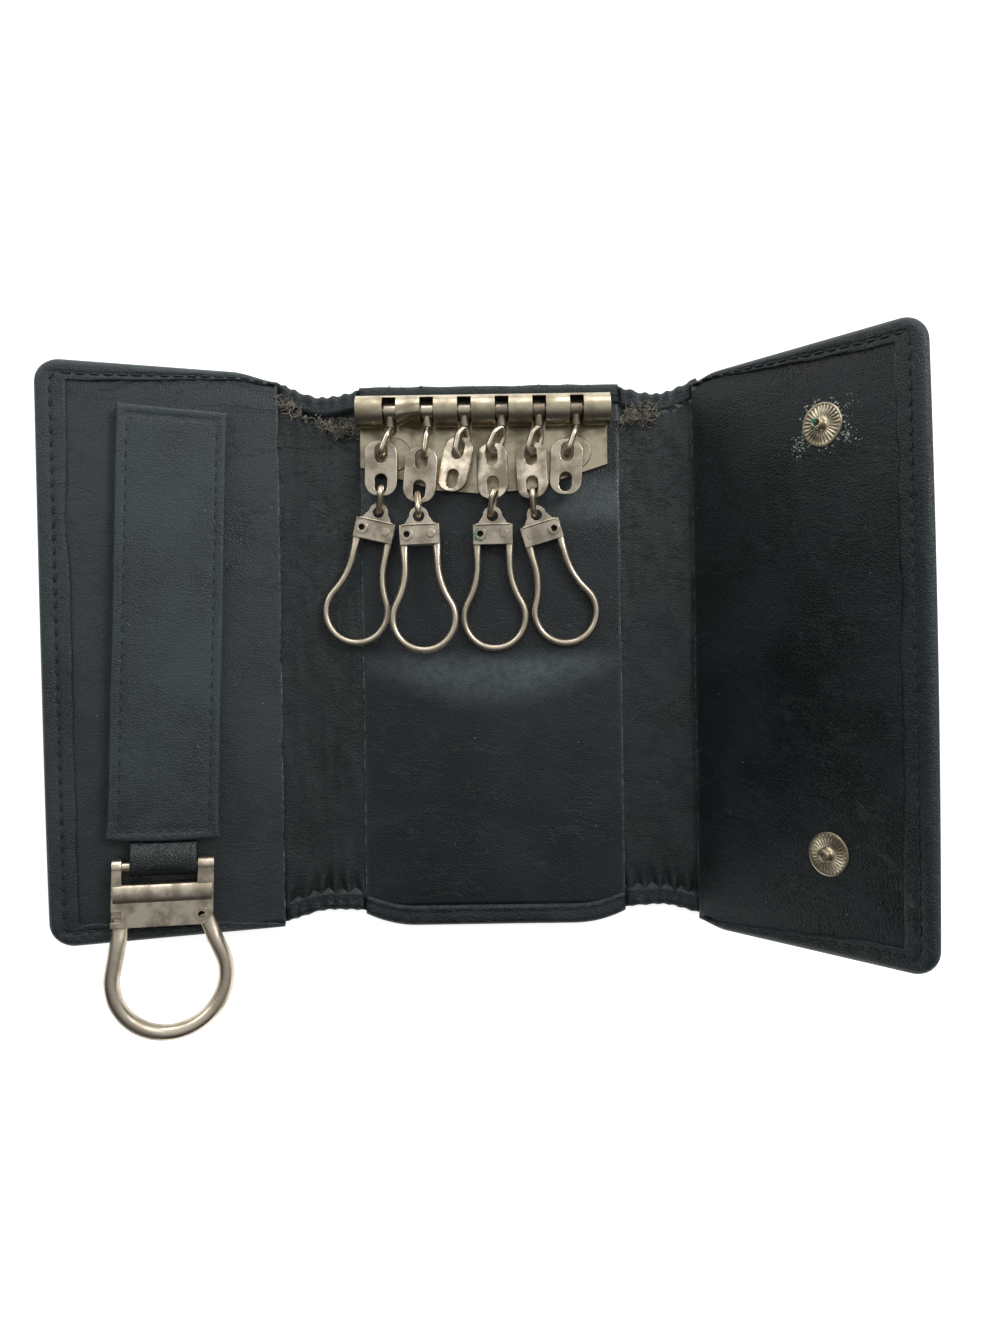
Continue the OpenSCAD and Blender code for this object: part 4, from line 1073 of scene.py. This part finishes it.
class KEYCASE_OT_swivels(bpy.types.Operator):
    """Builds the six collars and the wire hooks that hang from them"""

    bl_idname = "keycase.swivels"
    bl_label = "Swivels"

    def execute(self, context):
        # Each hook's lean along the row and its turn about its own length, in degrees
        leans = (-22, -8, -12, -24, -18, -20)
        turns = (0, 0, 46, 44, 44, 0)
        low = HOOK_BEND - HOOK_DROP
        down = [(0.05, 0.3), (-0.55, 0.75), (-1.25, 1.28), (-1.9, HOOK_BEND), ((low - 1.9) / 2, HOOK_BEND)]
        shape = [(0, y, z) for y, z in down]
        shape += half_turn(low, 0, -HOOK_BEND, HOOK_BEND, 20)
        shape += [(0, y, -z) for y, z in reversed(down)]
        line = curve_through(shape, 3)
        for n, (x, lean, turn) in enumerate(zip(STATION_X, leans, turns), 1):
            collar = f"collar_{n}"
            worn_piece(f"swaged_{collar}", [collar], "tumbled_nickel_plate", collar, "worn_nickel", 0.12)
            at = (
                Matrix.Translation((x, RAIL_Y - HOOK_ROOT, RAIL_Z))
                @ Matrix.Rotation(math.radians(lean), 4, "Z")
                @ Matrix.Rotation(math.radians(-turn), 4, "Y")
            )
            bm = bmesh.new()
            sweep(bm, line, (HOOK_WIRE_R, HOOK_WIRE_R), 12, across=(1, 0, 0))
            neck = Matrix.Translation((0, 0.05, 0))
            bmesh.ops.create_uvsphere(bm, u_segments=12, v_segments=8, radius=0.62, matrix=neck)
            move(bm, bm.verts, at)
            pin = Matrix.Translation((x, RAIL_Y - 1.7, RAIL_Z)) @ Matrix.Rotation(math.pi / 2, 4, "X")
            bmesh.ops.create_cone(bm, cap_ends=True, segments=12, radius1=0.4, radius2=0.4, depth=3.4, matrix=pin)
            # Only the third and the sixth turn in their collars
            body = f"hook_{n}" if n in (3, 6) else collar
            finish_piece(
                bm, f"wire_hook_{n}", ["polished_nickel_wire"], body, "worn_nickel", [f"swivel_hook_{n}"], 50
            )
        return {"FINISHED"}


class KEYCASE_OT_links_and_rings(bpy.types.Operator):
    """Builds the six flat links with their two slots, and the four oval rings"""

    bl_idname = "keycase.links_and_rings"
    bl_label = "Links and rings"

    def execute(self, context):
        for n in range(1, 7):
            worn_piece(
                f"stamped_link_{n}", [f"flat_link_{n}"], "tumbled_nickel_plate", f"link_{n}", "worn_nickel", 0.21, 3
            )
        # How each ring leans along the row, drops towards the leather and rolls, in degrees
        leans, drops, rolls = (-8, 3, -8, 5), (25, -38, 20, 20), (0, 0, 13, 9)
        path = half_turn(0, 0, RING_BEND, RING_BEND, 15) + [(0, -RING_STRAIGHT / 2, -RING_BEND)]
        path += half_turn(-RING_STRAIGHT, 0, -RING_BEND, -RING_BEND, 15) + [(0, -RING_STRAIGHT / 2, RING_BEND)]
        for n, (at, lean, drop, roll) in enumerate(zip(RING_PLACES, leans, drops, rolls), 1):
            bm = bmesh.new()
            sweep(bm, path, (RING_WIRE_R, RING_WIRE_R), 14, closed=True, across=(1, 0, 0))
            hangs = (
                Matrix.Translation(at)
                @ Matrix.Rotation(math.radians(lean), 4, "Z")
                @ Matrix.Rotation(math.radians(drop), 4, "X")
                @ Matrix.Rotation(math.radians(-roll), 4, "Y")
            )
            move(bm, bm.verts, hangs)
            finish_piece(
                bm, f"oval_link_{n}", ["polished_nickel_wire"], f"ring_{n}", "worn_nickel", [f"oval_ring_{n}"]
            )
        return {"FINISHED"}


# Each clip's hanging hole, the direction across its head, the direction that its front faces, its eyelet's side
CLIPS = (
    ((-22.0854, 28.2781, 4.05521), (0.973179, -0.23005, 0), (-0.0023052, -0.0097517, 0.99995), 1),
    ((-13.9469, 27.1081, 6.37882), (0.999263, 0.0383878, 0), (-0.000623629, 0.0162335, 0.999868), 1),
    ((0.440497, 27.323, 4.16646), (0.999962, 0.00872654, 0), (0.000471786, -0.0540613, 0.998538), 1),
    ((9.12247, 27.3524, 4.16646), (0.959805, 0.280667, 0), (0.0151738, -0.0518903, 0.998538), -1),
)


def clip_frame(k):
    """Frame of a key clip: origin at its hanging hole, Y towards the ring, Z out of its front."""
    at, across, up, side = CLIPS[k]
    x, z = Vector(across).normalized(), Vector(up).normalized()
    y = z.cross(x)
    x = x * side
    return Matrix(((x.x, y.x, z.x, at[0]), (x.y, y.y, z.y, at[1]), (x.z, y.z, z.z, at[2]), (0, 0, 0, 1)))


class KEYCASE_OT_key_clips(bpy.types.Operator):
    """Builds the four key clips: folded head, rolled eyelet and sprung wire loop"""

    bl_idname = "keycase.key_clips"
    bl_label = "Key clips"

    def execute(self, context):
        # The wire leaves the head on two legs, flares out and closes in a round bulb
        leg, flare, turn, bulb_y, bulb_r = 3.2, 14.72, 30.6, -20.1, 6.1
        left = [Vector((-leg, y, 0)) for y in (-4.6, -6.0, -7.0, -8.2)]
        left += arc_points((-leg - flare, -9.5), flare, 0, -turn, 8)
        right = [Vector((-p.x, p.y, 0)) for p in reversed(left)]
        path = left + arc_points((0, bulb_y), bulb_r, 180 - turn, 360 + turn, 40)[1:-1] + right
        # Pressed flat where it enters the head
        flats = [step(p.y, -7.6, -6.4) for p in path]
        sections = [(CLIP_WIRE_R - 0.22 * flat, CLIP_WIRE_R + 0.12 * flat) for flat in flats]
        for k in range(4):
            n, at = k + 1, clip_frame(k)
            clip = f"clip_{n}"
            bm = bmesh.new()
            worn_copy(bm, [f"clip_head_{n}"], 0.2, 3)
            nub = Matrix.Translation((3.55, -1.95, 0)) @ Matrix.Diagonal((0.45, 0.5, 0.75, 1))
            bmesh.ops.create_uvsphere(bm, u_segments=12, v_segments=8, radius=1, matrix=at @ nub)
            # The sheet's fold stands up along the band's top
            ridge = sweep(bm, [(-3.3, -1.75, 0.98), (0, -1.72, 1.04), (3.3, -1.75, 0.98)], (0.2, 0.24), 10)
            move(bm, ridge, at)
            keep_flats(finish_piece(
                bm, f"folded_clip_head_{n}", ["tumbled_nickel_plate"], clip, "worn_nickel", [f"clip_head_{n}"], 45
            ))
            bm = bmesh.new()
            worn_copy(bm, [f"clip_eyelet_{n}"], 0.09)
            for face in bm.faces:
                face.material_index = 0
            # A dark disc set in the eyelet's hole: painted shade, standing in for the shade inside the hole
            hole = at @ Matrix.Translation((*EYELET, 0.4))
            made = bmesh.ops.create_cone(
                bm, cap_ends=True, segments=24, radius1=0.62, radius2=0.62, depth=0.3, matrix=hole
            )
            for face in {f for v in made["verts"] for f in v.link_faces}:
                face.material_index = 1
            keep_flats(finish_piece(
                bm, f"rolled_eyelet_{n}", ["tumbled_nickel_plate", "dark_hollow"], clip, "worn_nickel",
                [f"clip_eyelet_{n}"], 45,
            ))
            bm = bmesh.new()
            sweep(bm, path, sections, 16)
            eye = Matrix.Translation((*EYELET, 0))
            bmesh.ops.create_cone(bm, cap_ends=True, segments=24, radius1=1.3, radius2=1.3, depth=0.86, matrix=eye)
            move(bm, bm.verts, at)
            finish_piece(
                bm, f"sprung_loop_{n}", ["polished_nickel_wire"], f"key_loop_{n}", "worn_nickel",
                [f"clip_loop_{n}"], 50,
            )
        return {"FINISHED"}


class KEYCASE_OT_large_hook(bpy.types.Operator):
    """Builds the large hook below the strap: cast head, pivot rivet and opening ring"""

    bl_idname = "keycase.large_hook"
    bl_label = "Large hook"

    def execute(self, context):
        bm = bmesh.new()
        worn_copy(bm, ["hook_frame"], 0.22, 3)
        # The rolled edge stands proud across the head, below the opening for the strap's loop
        roll = sweep(bm, [(-8.8, -4.95, 0.95), (8.8, -4.95, 0.95)], (0.95, 1.85), 28)
        move(bm, roll, BAR)
        keep_flats(finish_piece(
            bm, "cast_hook_head", ["tumbled_nickel_plate"], "hook_head", "worn_nickel", ["hook_frame"], 40
        ))
        worn_piece("hook_pivot_rivet", ["hook_pivot"], "tumbled_nickel_plate", "hook_head", "worn_nickel", 0.1)
        centre, radius = (1.6, -21.2), 10.3
        left = [Vector((*p, 0)) for p in ((-7.5, -9.6), (-7.5, -11.2), (-7.5, -12.6), (-7.86, -15))]
        right = [Vector((*p, 0)) for p in ((9.55, -13.9), (9.0, -12.4), (8.3, -10.9), (7.6, -9.3))]
        path = left + arc_points(centre, radius, 171, 385.6, 44) + right
        # Beaten flat where it enters the head
        flats = [step(p.y, -13.4, -11.6) for p in path]
        bm = bmesh.new()
        sweep(bm, path, [(LOOP_WIRE_R - 0.95 * flat, LOOP_WIRE_R - 0.1 * flat) for flat in flats], 24)
        move(bm, bm.verts, BAR)
        finish_piece(bm, "opening_ring", ["polished_nickel_wire"], "hook_ring", "worn_nickel", ["hook_loop"], 50)
        return {"FINISHED"}


class KEYCASE_OT_snaps(bpy.types.Operator):
    """Builds the ribbed snap studs on the right flap and finishes their sockets, posts and caps"""

    bl_idname = "keycase.snaps"
    bl_label = "Snaps"

    def execute(self, context):
        ribs = settings().stud_ribs
        # Radius and height, from the base over the ribbed flange to the knob and its hollow
        profile = (
            (3.93, 0.0), (3.95, 0.16), (3.86, 0.3), (3.66, 0.34), (3.4, 0.26), (2.6, 0.4), (1.8, 0.5), (1.4, 0.46),
            (1.12, 0.6), (0.98, 0.95), (1.0, 1.4), (1.14, 1.75), (1.12, 2.0), (0.94, 2.17), (0.66, 2.2),
            (0.5, 2.05), (0.42, 1.5), (0.0, 1.4),
        )
        bm = bmesh.new()
        for y in STUD_Y:
            verts = [bm.verts.new((r, 0, z)) for r, z in profile]
            edges = [bm.edges.new(pair) for pair in zip(verts, verts[1:])]
            edges.append(bm.edges.new((verts[0], bm.verts.new((0, 0, 0)))))
            geom = list({v for e in edges for v in e.verts}) + edges
            bmesh.ops.spin(
                bm, geom=geom, cent=(0, 0, 0), axis=(0, 0, 1), angle=2 * math.pi, steps=ribs * 6, use_merge=True
            )
            made = [v for v in bm.verts if abs(v.co.y) < 6 and v.tag is False]
            for v in made:
                r, a = math.hypot(v.co.x, v.co.y), math.atan2(v.co.y, v.co.x)
                if 1.4 < r < 3.62 and v.co.z > 0.1:
                    v.co.z += 0.16 * math.cos(ribs * a) * step(r, 1.5, 2.0) * step(3.62, r, 3.3 + 1e-6)
            move(bm, made, FLAP[RIGHT] @ Matrix.Translation((STUD_X, y, FLAP_IN)))
            for v in made:
                v.tag = True
        bmesh.ops.remove_doubles(bm, verts=bm.verts, dist=0.0005)
        finish_piece(
            bm, "ribbed_studs", ["yellowed_nickel_sheet"], "right_flap", "worn_brass_nickel", ["snap_studs"], 60
        )
        for name, node, body in (
            ("stud_posts", "snap_posts", "right_flap"),
            ("snap_socket_cups", "snap_sockets", "left_flap"),
            ("snap_cap_discs", "snap_caps", "left_flap"),
        ):
            worn_piece(name, [node], "tumbled_nickel_plate", body, "worn_nickel", 0.07)
        return {"FINISHED"}


# Shares of a strip's width where fibres stand in tufts along its torn edge, and the fibres in one tuft
TUFTS = {LEFT: (0.06, 0.16, 0.3, 0.42, 0.72, 0.9), RIGHT: (0.07, 0.14, 0.22, 0.32, 0.42)}
TUFT_FIBRES = 26
TOP_THREADS = 34
# Patches of pale salt by the upper stud: place and spread, or no spread for the ring close round it
SALT_PATCHES = ((0, 0, 0), (0, 0, 0), (5.4, 2.5, 1.4), (5, -2.8, 1.2), (-5.2, -3.2, 1.5))
SALT_GRAINS, STUD_GRAINS, EYELET_GRAINS = 230, 26, 46


def hairs(bm, source, spots, length, radius, lift=0.5, steps=4, curl=0.55):
    """Loose fibres: each starts at a spot and curls away over its length."""
    for x, y, z, way in spots:
        p = Vector((x, y, z))
        along = Vector((math.cos(way), math.sin(way), lift * source.uniform(-0.2, 1))).normalized()
        size = length * source.uniform(0.5, 1.25)
        path = [p]
        for _ in range(steps):
            along = (along + Vector([source.uniform(-curl, curl) for _ in range(3)])).normalized()
            path.append(path[-1] + along * size / steps)
        fine = radius * source.uniform(0.6, 1.2)
        sections = [(fine * (1 - 0.7 * i / steps),) * 2 for i in range(steps + 1)]
        sweep(bm, path, sections, 3, across=(0.3, 0.2, 0.93))


class KEYCASE_OT_torn_fibres(bpy.types.Operator):
    """Adds what wear has left: fibres at the torn strip ends, frayed threads, salts on a stud and an eyelet"""

    bl_idname = "keycase.torn_fibres"
    bl_label = "Torn fibres"

    def execute(self, context):
        for side in (LEFT, RIGHT):
            name, source = SIDE_NAMES[side], random.Random(7 + side)
            line, run = fold_line(side)
            total = run[-1]
            bm = bmesh.new()
            spots = []
            for share in TUFTS[side]:
                for _ in range(TUFT_FIBRES):
                    u = min(max(share * total + source.gauss(0, 0.75), 0.6), total - 0.6)
                    p, up = on_line(line, run, u)
                    q = p + up * source.uniform(0.9, 1.6)
                    y = torn_edge(side, u, total) + source.gauss(0.3, 0.6)
                    spots.append((q.x, y, q.z, source.uniform(0, 2 * math.pi)))
            hairs(bm, source, spots, length=2.8, radius=0.17, lift=0.5, steps=8, curl=0.8)
            finish_piece(bm, f"{name}_fibre_tufts", ["torn_leather_fibre"], f"{name}_strip", "strip_lining")
        source = random.Random(21)
        bm = bmesh.new()
        spots = []
        for _ in range(TOP_THREADS):
            x, y = source.uniform(-24, 24), CASE_H / 2 - source.uniform(0.1, 0.9)
            way = source.choice((0.3, 1.2, 2.2, 2.9)) + source.uniform(-0.4, 0.4)
            spots.append((x, y, 1.9, way))
        hairs(bm, source, spots, length=2.6, radius=0.1, lift=0.2)
        finish_piece(bm, "frayed_top_threads", ["waxed_thread"], "case_centre", "outer_leather")
        # Copper salts have crept out from under the upper stud and over the third clip's eyelet
        stud = FLAP[RIGHT] @ Matrix.Translation((STUD_X, STUD_Y[0], FLAP_IN))
        bm = bmesh.new()
        for _ in range(SALT_GRAINS):
            x, y, spread = source.choice(SALT_PATCHES)
            a = source.uniform(0, 2 * math.pi)
            r = abs(source.gauss(0, spread)) if spread else 4.05 + abs(source.gauss(0, 0.5))
            at = stud @ Matrix.Translation((x + r * math.cos(a), y + r * math.sin(a), 0.02))
            flat = Matrix.Diagonal((1, source.uniform(0.4, 1), 0.4, 1))
            bmesh.ops.create_icosphere(bm, subdivisions=1, radius=source.uniform(0.06, 0.24), matrix=at @ flat)
        finish_piece(bm, "stud_salts", ["pale_copper_salt"], "right_flap", "worn_brass_nickel")
        bm = bmesh.new()
        for _ in range(STUD_GRAINS):
            a, r = source.uniform(1.2, 4.4), source.uniform(0.3, 1.25)
            at = stud @ Matrix.Translation((r * math.cos(a), r * math.sin(a), 2.15 - 0.5 * step(r, 0.9, 1.3)))
            bmesh.ops.create_icosphere(bm, subdivisions=1, radius=source.uniform(0.1, 0.22), matrix=at)
        finish_piece(bm, "stud_crust", ["copper_green_crust"], "right_flap", "worn_brass_nickel")
        clip, flat = clip_frame(2), Matrix.Diagonal((1, 1, 0.5, 1))
        bm = bmesh.new()
        for _ in range(EYELET_GRAINS):
            a, r = source.uniform(1.9, 5.0), source.uniform(0.75, 1.4)
            place = (-2.5 + r * math.cos(a), -3.57 + r * math.sin(a), 1.28 - 0.2 * step(r, 1.15, 1.4))
            at = clip @ Matrix.Translation(place)
            bmesh.ops.create_icosphere(bm, subdivisions=1, radius=source.uniform(0.07, 0.2), matrix=at @ flat)
        finish_piece(bm, "eyelet_crust", ["copper_green_crust"], "clip_3", "worn_nickel")
        return {"FINISHED"}


# Area lamps: name, place and size in metres, and power in watts
LAMPS = (
    ("key", (0.4, 0.3, 0.42), 0.22, 1.5),
    ("fill", (-0.32, 0.3, 0.35), 0.35, 0.55),
    ("top", (0.0, 0.42, 0.2), 0.25, 0.45),
)


class KEYCASE_OT_stage(bpy.types.Operator):
    """Sets the pale floor, the soft lamps and the camera"""

    bl_idname = "keycase.stage"
    bl_label = "Stage"

    def execute(self, context):
        scene = context.scene
        bm = bmesh.new()
        bmesh.ops.create_grid(bm, x_segments=1, y_segments=1, size=1.5)
        mesh = bpy.data.meshes.new("pale_floor")
        bm.to_mesh(mesh)
        bm.free()
        floor = bpy.data.objects.new("pale_floor", mesh)
        mesh.transform(Matrix.Translation((0, 0, CAD_BOX[0][2] - 0.0002)))
        scene.collection.objects.link(floor)
        made = bpy.data.materials.new("white_paper")
        made.use_nodes = True
        tree = made.node_tree
        tree.nodes.clear()
        path = add_node(tree, "ShaderNodeLightPath").outputs
        seen = path["Is Camera Ray"]
        for ray in ("Is Glossy Ray", "Is Transmission Ray"):
            seen = add_node(tree, "ShaderNodeMath", {"operation": "MAXIMUM"}, {0: seen, 1: path[ray]}).outputs[0]
        glow = add_node(tree, "ShaderNodeMath", {"operation": "MULTIPLY", 1: 0.8}, {0: seen}).outputs[0]
        white = add_node(tree, "ShaderNodeEmission", {"Color": (1, 1, 1, 1)}, {"Strength": glow})
        paper = add_node(tree, "ShaderNodeBsdfDiffuse", {"Color": (0.8, 0.8, 0.8, 1)})
        both = add_node(tree, "ShaderNodeAddShader", {}, {0: white.outputs[0], 1: paper.outputs[0]})
        add_node(tree, "ShaderNodeOutputMaterial", {}, {"Surface": both.outputs[0]})
        mesh.materials.append(made)

        world = bpy.data.worlds.new("studio")
        scene.world = world
        world.use_nodes = True
        tree = world.node_tree
        tree.nodes.clear()
        path = add_node(tree, "ShaderNodeLightPath").outputs
        # Brightest from above the key row, dark from the near side, as beside a window
        way = add_node(tree, "ShaderNodeTexCoord").outputs["Generated"]
        values = {"operation": "DOT_PRODUCT", 1: (0.3, 0.74, 0.6)}
        toward = add_node(tree, "ShaderNodeVectorMath", values, {0: way}).outputs["Value"]
        strength = ramp(tree, toward, -0.2, 1.0, 0.05, 0.7)
        soft = add_node(tree, "ShaderNodeBackground", {"Color": (0.95, 0.98, 1, 1)}, {"Strength": strength})
        white = add_node(tree, "ShaderNodeBackground", {"Color": (1, 1, 1, 1), "Strength": 1})
        links = {0: path["Is Camera Ray"], 1: soft.outputs[0], 2: white.outputs[0]}
        mixed = add_node(tree, "ShaderNodeMixShader", {}, links)
        add_node(tree, "ShaderNodeOutputWorld", {}, {"Surface": mixed.outputs[0]})
        for name, place, size, power in LAMPS:
            lamp = bpy.data.lights.new(name, "AREA")
            lamp.size, lamp.energy = size, power
            holder = bpy.data.objects.new(name, lamp)
            holder.location = place
            holder.rotation_euler = Vector(place).to_track_quat("Z", "Y").to_euler()
            scene.collection.objects.link(holder)

        eye = bpy.data.cameras.new("overhead")
        eye.lens = CAMERA_LENS
        eye.sensor_fit = "AUTO"
        eye.clip_start, eye.clip_end = 0.01, 10
        camera = bpy.data.objects.new("overhead", eye)
        camera.location = CAMERA_PLACE
        camera.rotation_euler = (0, 0, math.radians(CAMERA_ROLL))
        scene.collection.objects.link(camera)
        scene.camera = camera
        scene.view_settings.view_transform = "Standard"
        return {"FINISHED"}


class KEYCASE_PT_panel(bpy.types.Panel):
    """Lists the case's pieces and sizes in the sidebar"""

    bl_label = "Key Case"
    bl_idname = "KEYCASE_PT_panel"
    bl_space_type = "VIEW_3D"
    bl_region_type = "UI"
    bl_category = "Key Case"

    def draw(self, context):
        for name in KeyCaseSettings.__annotations__:
            self.layout.prop(context.scene.key_case, name)
        for operator in OPERATORS:
            self.layout.operator(operator.bl_idname)


OPERATORS = (
    KEYCASE_OT_stage,
    KEYCASE_OT_centre_panel,
    KEYCASE_OT_fold_strips,
    KEYCASE_OT_flaps,
    KEYCASE_OT_strap,
    KEYCASE_OT_stitching,
    KEYCASE_OT_key_row,
    KEYCASE_OT_swivels,
    KEYCASE_OT_links_and_rings,
    KEYCASE_OT_key_clips,
    KEYCASE_OT_large_hook,
    KEYCASE_OT_snaps,
    KEYCASE_OT_torn_fibres,
)
CLASSES = (KeyCaseSettings, *OPERATORS, KEYCASE_PT_panel)


def register():
    """Makes the settings, the operators and the panel known to Blender."""
    for cls in CLASSES:
        bpy.utils.register_class(cls)
    bpy.types.Scene.key_case = PointerProperty(type=KeyCaseSettings)


def unregister():
    """Takes them out again."""
    del bpy.types.Scene.key_case
    for cls in reversed(CLASSES):
        bpy.utils.unregister_class(cls)


def main():
    """Builds the whole case."""
    register()
    for operator in OPERATORS:
        getattr(bpy.ops.keycase, operator.bl_idname.partition(".")[2])()


if __name__ == "__main__":
    main()
